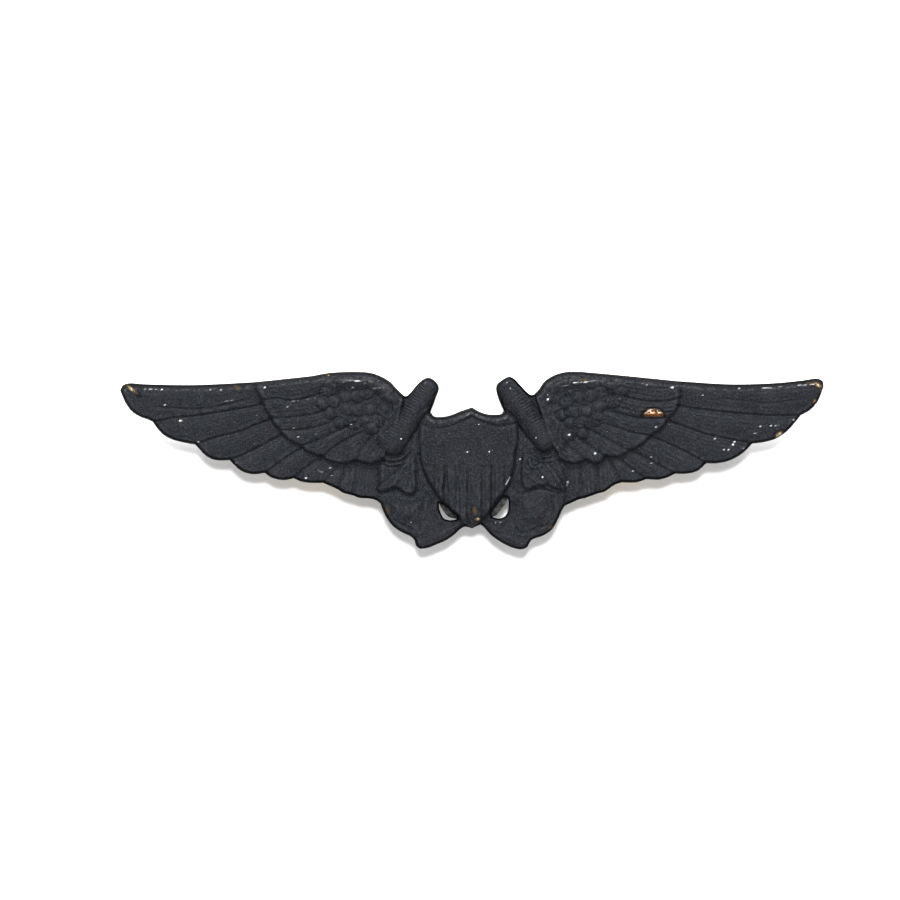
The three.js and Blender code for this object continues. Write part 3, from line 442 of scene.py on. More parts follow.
def wing(w, x, y):
    """Height of one half of the badge above its back plane; x points outward."""
    top_d = along(x, y, chain(w.shoulder, w.middle, w.leading))[0]

    # flight feathers
    k, t, width, _ = feather_bands(x, y, w.grooves, top_d, LOWEST_BAND, outer=3, inner=9)
    depth = FEATHER_DEPTH * np.clip(width / 2.2, 0.35, 1)
    h = FEATHER_TOP - FEATHER_STEP * k + depth * (feather_profile(t, width) - 1)
    h += 0.022 * w.barbs * barbs(x, y, t, width, 5)
    ribs = soft((x - 10.2) / 0.6) * soft((16.5 - x) / 1.5) * soft((0.4 - y) / 0.5)
    wave = np.sin(2 * np.pi * ((x + 0.12 * y) / RIB + 0.5 * noise(x, y, 1.1, 7)))
    h += 0.035 * ribs * wave * noise(x, y * 0.4, 0.7, 8)
    for quill in w.quills:
        h += ridge(x, y, *quill, 1.5)

    # coverts, a raised tier over the roots of the flight feathers
    tier = chain(*w.tier)
    plan = chain(w.shoulder, w.middle, tier, [[8.6, 2.4]])
    on = inside(x, y, plan)
    tier_d = along(x, y, tier)[0]
    k, t, width, past = feather_bands(x, y, w.coverts, top_d, LOWEST_BAND, outer=1.5, inner=3)
    here = soft(0.5 - past / 1.4)
    high = COVERT_TOP - COVERT_STEP * np.where(here > 0, k, 3)
    cover = high * here + (COVERT_TOP - 0.2) * (1 - here)
    cover += COVERT_DEPTH * np.clip(width / 1.7, 0.4, 1) * (feather_profile(t, width) - 1) * here
    cover += 0.05 * w.barbs * barbs(x, y, t, width, 15) * here
    cover += 0.05 * (1 - here) * noise(x, y, 0.9, 21)

    # rounded wrist of the wing along the top edge, small scales below it
    wrist_d = along(x, y, w.shoulder)[0]
    wrist = soft((x - 7.2) / 2.2) * soft((18.2 - x) / 2.6)
    cover += wrist * 0.3 * bell((wrist_d - 0.85) / np.where(wrist_d < 0.85, 0.45, 0.8))
    cover -= wrist * 0.05 * bell((wrist_d - 1.9) / 0.3)
    dome, gap = np.zeros(x.shape), np.zeros(x.shape)
    for i, (sx, sy) in enumerate(w.scales):
        size = SCALE_SIZE + 0.08 * math.sin(3.7 * i)
        r = np.hypot(x - sx, (y - sy) * SCALE_SQUASH) / size * (1 + 0.12 * noise(x, y, 0.5, 25))
        lean = np.clip(0.9 + 0.5 * (y - sy), 0, 1.3)  # each one lies against the next row down
        dome = np.maximum(dome, SCALE_RISE * unit(1 - r ** 2) ** 0.5 * lean)
        gap = np.maximum(gap, bell((r - 1.07) / 0.12) * np.clip(lean, 0.3, 1))
    cover += dome * (1 + 0.45 * noise(x, y * 0.35, 0.2, 29)) - 0.1 * gap
    sx, sy, sr = w.swirl
    r = np.hypot(x - sx, (y - sy) * 0.85)
    cover += 0.08 * bell((r - sr * 0.8) / 0.2) + 0.07 * bell(r / 0.35)
    cover += 0.09 * soft((11.4 - x) / 1) * noise(x, y, 0.5, 27)
    h = np.where(on, h + (cover - h) * rounded(tier_d, 0.4), h)

    # place of the tapered rod: distance along it from its lower end, and off its middle line
    (tx, ty, tr), (ex, ey, er) = w.rod
    length = math.hypot(ex - tx, ey - ty)
    ax, ay = (tx - ex) / length, (ty - ey) / length
    place = (x - ex) * ax + (y - ey) * ay
    off = (x - ex) * ay - (y - ey) * ax  # positive towards the wing

    # middle of the badge: low web, anchor arm, palm, bowl
    web = soft((10.6 - x) / 0.9) * soft((0.2 - y) / 0.8)
    web = np.maximum(web, soft((0.4 - off) / 0.3) * (x < 9.5))
    h = h * (1 - web) + (WEB_TOP + 0.07 * noise(x, y, 1.1, 31) + 0.05 * noise(x, y, 0.45, 32)) * web
    h = pad(h, x, y, w.bowl, BOWL_TOP, 1.2)
    h = pad(h, x, y, w.palm, PALM_TOP, 0.5)
    if w.dome:
        cx, cy, cr = w.dome
        r = np.hypot(x - cx, y - cy)
        h += 0.28 * unit(1 - (r / cr) ** 2) ** 0.8 - 0.1 * bell((r - 0.5) / 0.12)
    crescent = chain(w.fluke, points("1.5,-6.6 2.9,-7 4.4,-7.5 5.5,-8"))
    h = pad(h, x, y, crescent[::2], FLUKE_TOP, 1.2)
    for line in w.lines:
        h += ridge(x, y, *line, 0.4)

    # rope turns round the end of the rod
    r, turn = np.hypot(x - ex, y - ey), np.degrees(np.arctan2(y - ey, x - ex)) % 360
    low, high = w.ropes
    held = soft((turn - low) / 14) * soft((high - turn) / 18)
    for radius, rise in ROPE_TURNS:
        h += rise * bell((r - radius) / 0.12) * held

    # the rod with its fine cross ridges
    part = unit(place / length)
    radius = er + (tr - er) * part ** 4
    beyond = np.where(place < 0, place, np.maximum(place - length, 0))
    reach = np.hypot(off, beyond)
    body = np.sqrt(unit(1 - (reach / radius) ** 2)) * radius * 0.9 + ROD_AXIS
    start, stop = w.ridged
    lined = soft((part - start + 0.1) / 0.12) * soft((stop - part + 0.06) / 0.12)
    lined = lined * soft(off / radius * 2.6 + 0.3)
    wave = np.cos(2 * np.pi * (place + 0.12 * off) / ROD_RIDGE)
    body += 0.05 * lined * (np.abs(wave) ** 0.8 * np.sign(wave)) * soft((radius - reach) / 0.25)
    body += 0.02 * noise(x, y, 0.4, 41)
    meet = 0.35 * unit(1 - np.abs(h - body) / 0.35) ** 2 / 4 * soft(off / 0.5)
    return np.where(reach < radius, np.maximum(h, body) + meet, h)


def flute_lines(x, y):
    """Depth, 0 to about 1, of the wandering flutes down the lower half of the shield."""
    below = soft((-0.35 - y) / 0.35) * soft((y + 8.2) / 1.5)
    lines = np.zeros(x.shape)
    for i, (fx, strength) in enumerate(FLUTES):
        wander = 0.09 * noise(x * 0 + i * 7, y, 1.2, 61)
        worn = strength * below * unit(0.75 + 0.5 * noise(x * 0 + i * 5, y, 0.8, 62))
        lines += worn * bell((x - fx - wander) / 0.13)
        lines += 0.55 * worn * bell((x - fx + wander - 0.4) / 0.11)
    return lines


def shield_ring():
    """Outline of the shield and its runs: brow and side at the right, brow and side at the left."""
    runs = [run * [w.side, 1] for w in (RIGHT, LEFT) for run in (w.brow, w.shield)]
    return chain(runs[0], runs[1], runs[3][::-1], runs[2][::-1]), runs


def shield(x, y, h):
    """Adds the crowned shield with its rim and flutes."""
    ring, runs = shield_ring()
    on = inside(x, y, ring)
    brow, edge = [np.minimum(along(x, y, runs[i])[0], along(x, y, runs[i + 2])[0]) for i in (0, 1)]
    crown = SHIELD_CROWN - np.sqrt(np.maximum(SHIELD_CROWN ** 2 - x ** 2, 0))
    face = SHIELD_TOP - crown + 0.025 * noise(x, y, 1.8, 51)
    line = mirrored(RIGHT.rim, LEFT.rim)
    d, side, _ = along(x, y, line)
    above = d * side * np.where(line[0, 0] > line[-1, 0], -1, 1)
    band = 0.17 * (1 - 0.6 * soft(-1.2 - x)) * soft(above / 0.3 + 0.5)
    face += band * (0.4 + 0.6 * bell((brow - 0.55) / 0.33))
    face -= 0.09 * bell((above + 0.2) / 0.13)
    face -= FLUTE_DEPTH * flute_lines(x, y)
    face += 0.035 * soft((-0.35 - y) / 0.35) * noise(x, y * 0.5, 0.22, 63)
    rise = rounded(edge, 0.5)
    low = np.minimum(h, WEB_TOP)
    h = np.where(on, low + (face - low) * rise, h)
    gap = np.where(on, 0, bell(edge / 0.22) * soft((4.4 - y) / 0.6))
    return h - 0.1 * gap


def relief(x, y, edge):
    """Height of the face above the back plane, rounded over at the outline."""
    h = np.where(x < 0, wing(LEFT, -x, y), wing(RIGHT, x, y))
    h = shield(x, y, h)
    h += 0.02 * noise(x, y, 2.2, 71) + 0.008 * noise(x, y, 0.35, 73)
    return EDGE_WALL + (h - EDGE_WALL) * rounded(edge, EDGE_ROUND)


# ---------------- mesh of the badge
PAINT = 0.09  # the thickness of the paint, past the outline of the bare die
GRID_COLUMNS = ((-38.6, -10.5, 0.166), (-10.5, 10.5, 0.085), (10.5, 38.6, 0.166))  # from, to, spacing
GRID_ROWS = (-9.72, 9.8, 0.08)
BACK_STEP = 0.55  # spacing of the back face's points, away from the hollow's rim
HOLLOW_OFFSETS = (-0.12, 0.12, 0.24, 0.36, 0.48, -0.24, -0.36, -0.48)
BACK_INSET = 0.1  # chamfer round the back face
WALL_RINGS = ((0, 0.55, 0), (0, 0.13, 1), (BACK_INSET, 0, 1))  # inset, height, share of the slope
OUTLINE_LOOP = 600  # a border loop with more points than this is the outline, not a hole


def half_outline(w):
    return chain(w.brow, w.stub, w.shoulder, w.middle, w.leading, *w.tips, w.arm, w.fluke)


outline = mirrored(half_outline(RIGHT), half_outline(LEFT))
outline = outline + left_normals(outline) * PAINT
holes = [smooth(closed(w.hole))[:-1] * [w.side, 1] for w in (LEFT, RIGHT)]
rings = [outline] + holes
shift = (BADGE_LOW[:2] + BADGE_HIGH[:2]) / 2 - (outline.min(axis=0) + outline.max(axis=0)) / 2


def in_badge(x, y, edges):
    """True inside the first of the rings and outside the others."""
    hit = inside(x, y, edges[0])
    for hole in edges[1:]:
        hit &= ~inside(x, y, hole)
    return hit


def steps(stops):
    """Grid lines whose spacing changes between stops."""
    parts = [np.arange(a, b - s * 0.5, s) for a, b, s in stops]
    return np.concatenate(parts + [[stops[-1][1]]])


def tidy_cells(cells):
    """Drops cells that touch the rest only by a corner, so the border is one clean line."""
    for _ in range(12):
        p = np.pad(cells, 1)
        a, b, c, d = p[:-1, :-1], p[:-1, 1:], p[1:, :-1], p[1:, 1:]
        slash, back = (b & c & ~a & ~d), (a & d & ~b & ~c)
        if not (slash.any() or back.any()):
            return cells
        drop = np.zeros_like(p)
        drop[:-1, 1:] |= slash
        drop[:-1, :-1] |= back
        cells = cells & ~drop[1:-1, 1:-1]
    return cells


def border_loops(faces):
    """Loops of vertices along edges that only one face uses, with the faces on the left."""
    e = np.vstack([faces[:, [i, (i + 1) % 4]] for i in range(4)])
    n = faces.max() + 1
    key, back = e[:, 0] * n + e[:, 1], e[:, 1] * n + e[:, 0]
    single = e[~np.isin(key, back)]
    after = dict(map(tuple, single.tolist()))
    loops = []
    while after:
        start, at = next(iter(after.items()))
        loop = [start]
        del after[start]
        while at != start:
            loop.append(at)
            at = after.pop(at)
        loops.append(np.array(loop))
    return loops


def snap(loop, ring):
    """Puts a loop of points onto a ring, evenly spread."""
    closed_ring = closed(ring)
    total = span_of(closed_ring)
    place = along(*loop.T, closed_ring)[2]
    step = np.diff(np.r_[place, place[0]])
    step = (step + total / 2) % total - total / 2
    run = np.r_[0, np.cumsum(step)]
    wind = run[-1]
    place = place[0] + run[:-1]
    for _ in range(10):
        before, after = np.roll(place, 1), np.roll(place, -1)
        before[0] -= wind
        after[-1] += wind
        place = 0.5 * place + 0.25 * (before + after)
    at = reaches(closed_ring)
    return np.c_[tuple(np.interp(place % total, at, closed_ring[:, i]) for i in (0, 1))]


def back_relief(x, y):
    """Height of the hollow in the back."""
    ring = mirrored(smooth(RECESS))
    d = off_ring(x, y, ring) * np.where(inside(x, y, ring), 1, -1)
    deep = 0.5 * soft(d / 0.45)
    swell = 0.05 * soft((d - 0.8) / 1.5) * noise(x, y, 2.4, 81)
    return deep + swell + 0.008 * noise(x, y, 0.6, 83) * soft(d / 0.4)


def proud(h, faces, rounds=5):
    """How far each vertex stands above the ones around it."""
    n = len(h)
    a, b = faces.ravel(), np.roll(faces, -1, axis=1).ravel()
    count = np.bincount(a, minlength=n) + np.bincount(b, minlength=n)
    level = h
    for _ in range(rounds):
        level = (np.bincount(a, level[b], n) + np.bincount(b, level[a], n)) / count
    return h - level


def hole_slope(p, inward):
    """How far each point of a hole's ring moves in, away from the shield, down the hole's wall."""
    away = np.array([np.sign(p[:, 0].mean()), -1]) / math.sqrt(2)
    s, t = p @ away, p @ [-away[1], away[0]]
    step = np.roll(t, -1) - t
    share = (t[:, None] - t) / np.where(step == 0, 1e-9, step)
    across = np.where((share >= 0) & (share <= 1), s + share * (np.roll(s, -1) - s), -99).max(axis=1) - s
    return away * np.minimum(HOLE_SLOPE * unit(-inward @ away), 0.6 * across)[:, None]


def build_badge():
    gx, gy = np.meshgrid(steps(GRID_COLUMNS), np.arange(*GRID_ROWS))
    cx, cy = (gx[:-1, :-1] + gx[1:, 1:]) / 2, (gy[:-1, :-1] + gy[1:, 1:]) / 2
    cells = tidy_cells(in_badge(cx, cy, rings))
    index = np.arange(gx.size).reshape(gx.shape)
    quads = np.stack([index[:-1, :-1], index[:-1, 1:], index[1:, 1:], index[1:, :-1]], axis=-1)[cells]
    used, faces = np.unique(quads, return_inverse=True)
    faces = faces.reshape(-1, 4)
    loops = [l for l in border_loops(faces) if len(l) > 20]
    px, py = gx.copy(), gy.copy()
    flat_x, flat_y = px.ravel(), py.ravel()
    border = np.zeros(gx.shape, bool)
    for loop in loops:
        at = used[loop]
        spots = np.c_[flat_x[at], flat_y[at]]
        ring = outline
        if len(loop) <= OUTLINE_LOOP:
            ring = min(holes, key=lambda r: np.hypot(*(r.mean(axis=0) - spots.mean(axis=0))))
        flat_x[at], flat_y[at] = snap(spots, ring).T
        border.ravel()[at] = True
    present = np.zeros(gx.shape, bool)
    present.ravel()[used] = True
    near = border  # grid points near the border are evened out
    for _ in range(3):
        p = np.pad(near, 1)
        near = near | p[:-2, 1:-1] | p[2:, 1:-1] | p[1:-1, :-2] | p[1:-1, 2:]
    relax = near & present & ~border
    for _ in range(8):
        for p in (px, py):
            mean = (np.roll(p, 1, 0) + np.roll(p, -1, 0) + np.roll(p, 1, 1) + np.roll(p, -1, 1)) / 4
            p[relax] = 0.4 * p[relax] + 0.6 * mean[relax]
    x, y = px.ravel()[used], py.ravel()[used]
    edge = np.min([off_ring(x, y, r) for r in rings], axis=0)
    for loop in loops:
        edge[loop] = 0
    h = relief(x, y, edge)
    relief_light_and_wear = proud(h, faces)

    # walls round the outline and in the holes
    verts = [np.c_[x, y, h]]
    polys = [faces.tolist()]
    count = len(x)
    last_rings = []
    for loop in loops:
        p = np.c_[x[loop], y[loop]]
        inward = left_normals(p)
        above = loop
        slope = hole_slope(p, inward) if len(loop) < OUTLINE_LOOP else np.zeros(p.shape)
        for inset, z, leans in WALL_RINGS:
            verts.append(np.c_[p + inward * inset + slope * leans, np.full(len(p), z)])
            below = count + np.arange(len(p))
            count += len(p)
            polys.append(np.c_[above, below, np.roll(below, -1), np.roll(above, -1)].tolist())
            above = below
        last_rings.append((above, p + inward * BACK_INSET + slope))

    # back face: a fine triangulation between the last rings
    back_rings = [np.float32(p).astype(float) for _, p in last_rings]  # as the triangulation rounds them
    back_edges = sorted(back_rings, key=len, reverse=True)
    ring_points = np.vstack(back_rings)
    ring_index = np.concatenate([i for i, _ in last_rings])
    edges, base = [], 0
    for _, p in last_rings:
        n = len(p)
        edges += [(base + i, base + (i + 1) % n) for i in range(n)]
        base += n
    mx, my = np.meshgrid(np.arange(-38, 38.2, BACK_STEP), np.arange(-9.4, 9.6, BACK_STEP))
    hollow = mirrored(smooth(RECESS, 8))
    normals = left_normals(hollow)
    lines = [hollow] + [hollow - normals * o for o in HOLLOW_OFFSETS]
    inner = np.vstack([np.c_[mx.ravel(), my.ravel()]] + lines)
    clear = np.min([off_ring(*inner.T, r) for r in back_rings], axis=0) > 0.25
    inner = inner[in_badge(*inner.T, back_edges) & clear]
    spots = [Vector(p) for p in np.vstack([ring_points, inner])]
    found, _, tris, origin = delaunay_2d_cdt(spots, edges, [], 0, 1e-6, True)[:4]
    verts.append(np.c_[inner, back_relief(*inner.T)])
    to_mesh = [-1 if not o else int(ring_index[o[0]]) if o[0] < len(ring_points) else
               count + o[0] - len(ring_points) for o in origin]
    found = np.array([tuple(v) for v in found])
    tris = np.array([t for t in tris if all(to_mesh[i] >= 0 for i in t)])
    mid = found[tris].mean(axis=1)
    tris = tris[in_badge(*mid[:, :2].T, back_edges)]
    polys.append([[to_mesh[c], to_mesh[b], to_mesh[a]] for a, b, c in tris])
    verts = np.vstack(verts)
    rest = len(verts) - len(edge)
    return (verts, [p for group in polys for p in group], np.r_[edge, np.full(rest, -1)],
            np.r_[relief_light_and_wear, np.zeros(rest)])


def new_mesh(name, verts, polys):
    mesh = bpy.data.meshes.new(name)
    mesh.from_pydata((np.asarray(verts) * MM).tolist(), [], polys)
    return mesh


def add_object(name, data):
    obj = bpy.data.objects.new(name, data)
    bpy.context.collection.objects.link(obj)
    return obj


def make_object(name, verts, polys, slot, body, node, smooth_angle=None):
    mesh = new_mesh(name, verts, polys)
    mesh.validate()
    mesh.polygons.foreach_set("use_smooth", np.ones(len(mesh.polygons), bool))
    obj = add_object(name, mesh)
    if smooth_angle:
        mesh.set_sharp_from_angle(angle=math.radians(smooth_angle))
    obj.data.materials.append(MATERIALS[slot])
    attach(obj, body)
    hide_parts(node)
    return obj


def mask(name, values):
    """Stores a number for each point of the badge, which its paint reads."""
    layer = badge.data.attributes.new(name, "FLOAT", "POINT")
    layer.data.foreach_set("value", values.astype(np.float32))


# ---------------- materials
class Nodes:
    """Short way to write a node material."""

    def __init__(self, name):
        self.material = bpy.data.materials.new(name)
        self.material.use_nodes = True
        self.tree = self.material.node_tree
        self.shader = self.tree.nodes["Principled BSDF"]

    def add(self, kind, inputs=(), **props):
        node = self.tree.nodes.new("ShaderNode" + kind)
        for key, value in props.items():
            setattr(node, key, value)
        for key, value in dict(inputs).items():
            self.put(node.inputs[key], value)
        return node

    def put(self, socket, value):
        if isinstance(value, bpy.types.NodeSocket):
            self.tree.links.new(value, socket)
        else:
            socket.default_value = (*value, 1) if socket.type == "RGBA" else value

    def noise(self, scale, detail=3, rough=0.5, stretch=None):
        at = self.add("TexCoord").outputs["Object"]
        if stretch:
            at = self.add("Mapping", {"Vector": at, "Scale": stretch}).outputs[0]
        return self.add("TexNoise", {"Vector": at, "Scale": scale, "Detail": detail,
                                     "Roughness": rough}).outputs["Fac"]

    def ramp(self, value, low, high, to_low=0, to_high=1):
        return self.add("MapRange", {"Value": value, "From Min": low, "From Max": high,
                                     "To Min": to_low, "To Max": to_high}).outputs["Result"]

    def mix(self, factor, a, b):
        node = self.add("Mix", data_type="RGBA")
        self.put(node.inputs[0], factor)
        self.put(node.inputs[6], a)
        self.put(node.inputs[7], b)
        return node.outputs[2]

    def math(self, kind, a, b=0, clamp=False):
        node = self.add("Math", operation=kind, use_clamp=clamp)
        self.put(node.inputs[0], a)
        self.put(node.inputs[1], b)
        return node.outputs[0]

    def times(self, a, b, clamp=False):
        return self.math("MULTIPLY", a, b, clamp)

    def mask(self, name):
        return self.add("Attribute", attribute_name=name).outputs["Fac"]

    def bump(self, height, distance, strength=1, normal=None):
        node = self.add("Bump", {"Height": height, "Distance": distance, "Strength": strength})
        if normal is not None:
            self.put(node.inputs["Normal"], normal)
        return node.outputs["Normal"]

    def finish(self, **sockets):
        for key, value in sockets.items():
            self.put(self.shader.inputs[key.replace("_", " ")], value)
        return self.material


def black_paint():
    n = Nodes("black_paint")
    cloud = n.noise(260, 4, 0.6)
    grain = n.noise(7000, 2, 0.6)
    paint = n.mix(n.ramp(cloud, 0.35, 0.7), (0.0097, 0.0112, 0.0151), (0.0149, 0.0168, 0.0205))
    warm = n.ramp(n.noise(420, 2), 0.5, 0.62)
    paint = n.mix(n.times(warm, 0.5), paint, (0.0205, 0.018, 0.0215))
    paint = n.mix(n.ramp(grain, 0.5, 0.68, 0, 0.75), paint, (0.046, 0.05, 0.056))
    paint = n.mix(n.ramp(grain, 0.5, 0.32, 0, 0.75), paint, (0.004, 0.004, 0.005))
    fleck = n.ramp(n.noise(5200, 1, 0.4), 0.73, 0.78)
    paint = n.mix(n.times(fleck, 0.5), paint, (0.16, 0.16, 0.17))
    # paler where the relief stands proud: partly worn paint on ridges, partly painted highlight
    paint = n.mix(n.times(n.mask("relief_light_and_wear"), n.ramp(n.noise(1500, 2), 0.35, 0.65, 0, 0.55)),
                  paint, (0.044, 0.047, 0.053))
    # painted shade in creases and down the shield's flutes
    paint = n.mix(n.times(n.mask("crease_shade"), 0.6), paint, (0.006, 0.007, 0.009))
    # paler paint along the upper edges, the wing wrists and the shield's brow: partly worn paint, partly
    # painted highlight
    worn = n.times(n.mask("wear_and_highlight"), n.ramp(n.noise(2200, 3, 0.6), 0.44, 0.66), True)
    paint = n.mix(n.times(worn, 0.8), paint, (0.14, 0.135, 0.13))
    # painted shade: a near-black band along the outline and round the holes, where the edge rolls away; the
    # darker rings round the chips use the same colour
    paint = n.mix(n.times(n.mask("rim"), 0.95), paint, (0.003, 0.003, 0.003))
    patches = n.ramp(n.noise(4600, 2, 0.6), 0.36, 0.64)
    core = n.times(patches, n.ramp(n.mask("chip"), 0.55, 0.85))
    bare = n.mix(core, (0.05, 0.035, 0.019), (0.42, 0.36, 0.24))
    colour = n.mix(n.ramp(n.mask("chip"), 0, 0.45), paint, bare)
    brown = n.mix(n.ramp(n.noise(5200, 2), 0.38, 0.62), (0.05, 0.018, 0.006), (0.16, 0.072, 0.026))
    # painted highlight: the half-moon chip's upper part is paler
    pale = n.times(n.mask("moon_top_highlight"), n.ramp(n.noise(4300, 1), 0.44, 0.56, 0, 0.8))
    colour = n.mix(n.mask("moon"), colour, n.mix(pale, brown, (0.62, 0.56, 0.4)))
    chip = n.math("MAXIMUM", n.mask("chip"), n.mask("moon"))
    # painted light on the walls of the two holes: streaky grey, stronger towards their foot
    streaks = n.ramp(n.noise(2600, 2, 0.5, (1, 1, 0.1)), 0.35, 0.65)
    colour = n.mix(n.mask("bore_light"), colour, n.mix(streaks, (0.1, 0.1, 0.105), (0.3, 0.3, 0.3)))
    glint = n.mask("glint")
    colour = n.mix(glint, colour, (0.68, 0.68, 0.68))
    rough = n.ramp(grain, 0.3, 0.7, 0.6, 0.85)
    rough = n.math("SUBTRACT", rough, n.times(worn, 0.25))
    rough = n.math("SUBTRACT", rough, n.times(chip, 0.2), True)
    normal = n.bump(n.noise(1800, 3, 0.6), 0.00004, 0.6)
    normal = n.bump(grain, 0.00006, 1, normal)
    n.shader.inputs["Specular IOR Level"].default_value = 0.22
    # the painted edge shade is also made metallic, which keeps it dark
    metal = n.math("MAXIMUM", n.times(chip, 0.3), n.times(n.mask("rim"), 0.9))
    return n.finish(Base_Color=colour, Roughness=rough, Metallic=metal, Normal=normal)


def brass():
    n = Nodes("brass")
    cloud = n.noise(350, 4, 0.6)
    colour = n.mix(n.ramp(cloud, 0.35, 0.7), (0.60, 0.42, 0.15), (0.78, 0.58, 0.26))
    tarnish = n.ramp(n.noise(900, 4, 0.65), 0.56, 0.72)
    colour = n.mix(n.times(tarnish, 0.55), colour, (0.30, 0.19, 0.08))
    rough = n.ramp(n.noise(1500, 4, 0.7), 0.3, 0.7, 0.24, 0.42)
    scratch = n.noise(2400, 2, 0.5, (1, 9, 3))
    normal = n.bump(scratch, 0.00001, 0.4)
    return n.finish(Base_Color=colour, Roughness=rough, Metallic=1, Normal=normal)


def nickel():
    n = Nodes("nickel")
    colour = n.mix(n.ramp(n.noise(800, 3), 0.35, 0.7), (0.52, 0.49, 0.43), (0.70, 0.68, 0.62))
    rough = n.ramp(n.noise(2500, 3), 0.3, 0.7, 0.22, 0.38)
    normal = n.bump(n.noise(4000, 2, 0.5, (1, 1, 8)), 0.000008, 0.4)
    return n.finish(Base_Color=colour, Roughness=rough, Metallic=1, Normal=normal)


def white_table():
    n = Nodes("white_table")
    colour = n.mix(n.noise(30, 2), (0.86, 0.86, 0.86), (0.9, 0.9, 0.9))
    n.shader.inputs["Specular IOR Level"].default_value = 0
    return n.finish(Base_Color=colour, Roughness=n.ramp(n.noise(400), 0, 1, 0.8, 0.95))


MATERIALS = {"black_paint": black_paint(), "brass": brass(), "nickel": nickel()}

# ---------------- badge
# the pale colour on proud relief is partly wear and partly painted highlight
FULL_CREST = 0.023  # what stands this far proud shows fully pale
verts, polys, edge, relief_light_and_wear = build_badge()
x, y, h = verts[:, 0].copy(), verts[:, 1].copy(), verts[:, 2].copy()
verts[:, :2] += shift
verts[:, 2] += BACK
badge = make_object("badge_face", verts, polys, "black_paint", "badge", "wings_badge")
front = edge >= 0

# a darker ring round each chip, and round the upper side of the half-moon chip
chip, chip_dark_ring = np.zeros(len(x)), np.zeros(len(x))
for cx, cy, half, thin, turn, strength in CHIPS:
    a = math.radians(turn)
    u, v = (x - cx) * math.cos(a) + (y - cy) * math.sin(a), (y - cy) * math.cos(a) - (x - cx) * math.sin(a)
    out_from = np.hypot(u / half, v / thin)
    chip = np.maximum(chip, strength * unit((1.6 - out_from) / 1.1))
    chip_dark_ring = np.maximum(chip_dark_ring, 0.8 * strength * bell((out_from - 1.9) / 0.35))
cx, cy, across, high = HALF_MOON
out_from = np.hypot((x - cx) / across, (y - cy) / high)
moon = unit((1.1 - out_from) * 3.5) * soft((y - cy) / 0.1 + 0.5)
chip_dark_ring = np.maximum(chip_dark_ring, bell((out_from - 1.2) / 0.13) * (y > cy - 0.1))
hole_d = np.min([off_ring(x, y, r) for r in holes], axis=0)
wall = ~front & (hole_d < HOLE_SLOPE + 0.01) & (h > 0.1)  # painted light: the walls of the two holes turn streaky grey, more so towards their foot
mask("bore_light", np.where(wall, unit(1.1 - 1.4 * h), 0))
mask("chip", chip * front)
mask("moon", moon * front)
# painted highlight on the half-moon chip's upper part
mask("moon_top_highlight", soft((y - cy) / 0.3 - 0.6) * front)

glint = np.zeros(len(x))
for gx, gy, r in GLINTS:
    glint = np.maximum(glint, unit((r * 0.62 + 0.035 - np.hypot(x - gx, y - gy)) / 0.08))
# painted highlight streaks along edges and crests, a few of them scratches, join the painted glints
for x0, y0, x1, y1, half, strength in HIGHLIGHT_STREAKS:
    d = along(x, y, np.array([[x0, y0], [x1, y1]]))[0]
    patchy = strength * (0.6 + 1.4 * noise(x, y, 0.2, 91))
    glint = np.maximum(glint, unit((half * 0.8 + 0.025 - d) / 0.09) * unit(patchy))
mask("glint", glint * front)

# paler paint along the upper edges, wrists and brow: partly worn paint, partly painted highlight
wear_and_highlight = np.zeros(len(x))
for w in (LEFT, RIGHT):
    u = x * w.side
    d = along(u, y, chain(w.stub, w.shoulder, w.middle, w.leading))[0]
    wear_and_highlight = np.maximum(wear_and_highlight, 0.4 * bell((d - 0.5) / 0.12) * (u > 7))
    d = along(u, y, w.shoulder)[0]
    wear_and_highlight = np.maximum(wear_and_highlight, 0.55 * bell((d - 0.85) / 0.16) * soft((u - 8) / 2) * soft((17 - u) / 2))
    d = along(u, y, w.brow)[0]
    wear_and_highlight = np.maximum(wear_and_highlight, 0.5 * bell((d - 0.5) / 0.13) * (u > -0.1))
mask("wear_and_highlight", wear_and_highlight * front)
# proud relief gets paler paint, partly wear and partly painted highlight; sunken relief gets painted shade
relief_light_and_wear /= FULL_CREST
for w in (LEFT, RIGHT):
    u = x * w.side
    for sx, sy in w.scales:  # painted highlight along the scales' upper edges, where the light from above falls
        r = np.hypot(u - sx, (y - sy) * SCALE_SQUASH) / SCALE_SIZE
        relief_light_and_wear = np.maximum(relief_light_and_wear, 1.1 * bell((r - 0.8) / 0.14) * soft((y - sy) / 0.35 + 0.2))
mask("relief_light_and_wear", unit(relief_light_and_wear) * soft((edge - 0.25) / 0.3))
on_shield = inside(x, y, shield_ring()[0])
# painted shade in sunken relief and down the shield's flutes
mask("crease_shade", np.maximum(0.6 * unit(-relief_light_and_wear), 1.15 * flute_lines(x, y) * on_shield) * front)
# painted shade: a near-black band along the outline, thinner round the holes, where the edge rolls away; the
# darker rings round the chips join it
rim = unit(2 - edge / np.where(hole_d < 0.4, 0.08, 0.16))
mask("rim", np.maximum(rim, 0.7 * chip_dark_ring * (1 - moon)) * front)

# ---------------- posts and clutches
CLOTH_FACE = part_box("clutch_base_left")[1][2] / MM


def middle_of(node):
    low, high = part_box(node)
    return (low[0] + high[0]) / 2 / MM, (low[1] + high[1]) / 2 / MM


def turned(name, profile, node, slot, body, segments=96):
    """Revolves a closed [radius, height] profile about the node's upright middle line."""
    mx, my = middle_of(node)
    verts, polys, n = [], [], len(profile)
    for i in range(segments):
        a, j = i * 2 * math.pi / segments, (i + 1) % segments
        verts += [[mx + r * math.cos(a), my + r * math.sin(a), z] for r, z in profile]
        for k in range(n):
            m = (k + 1) % n
            polys.append([i * n + k, j * n + k, j * n + m, i * n + m])
    return make_object(name, verts, polys, slot, body, node, 35)


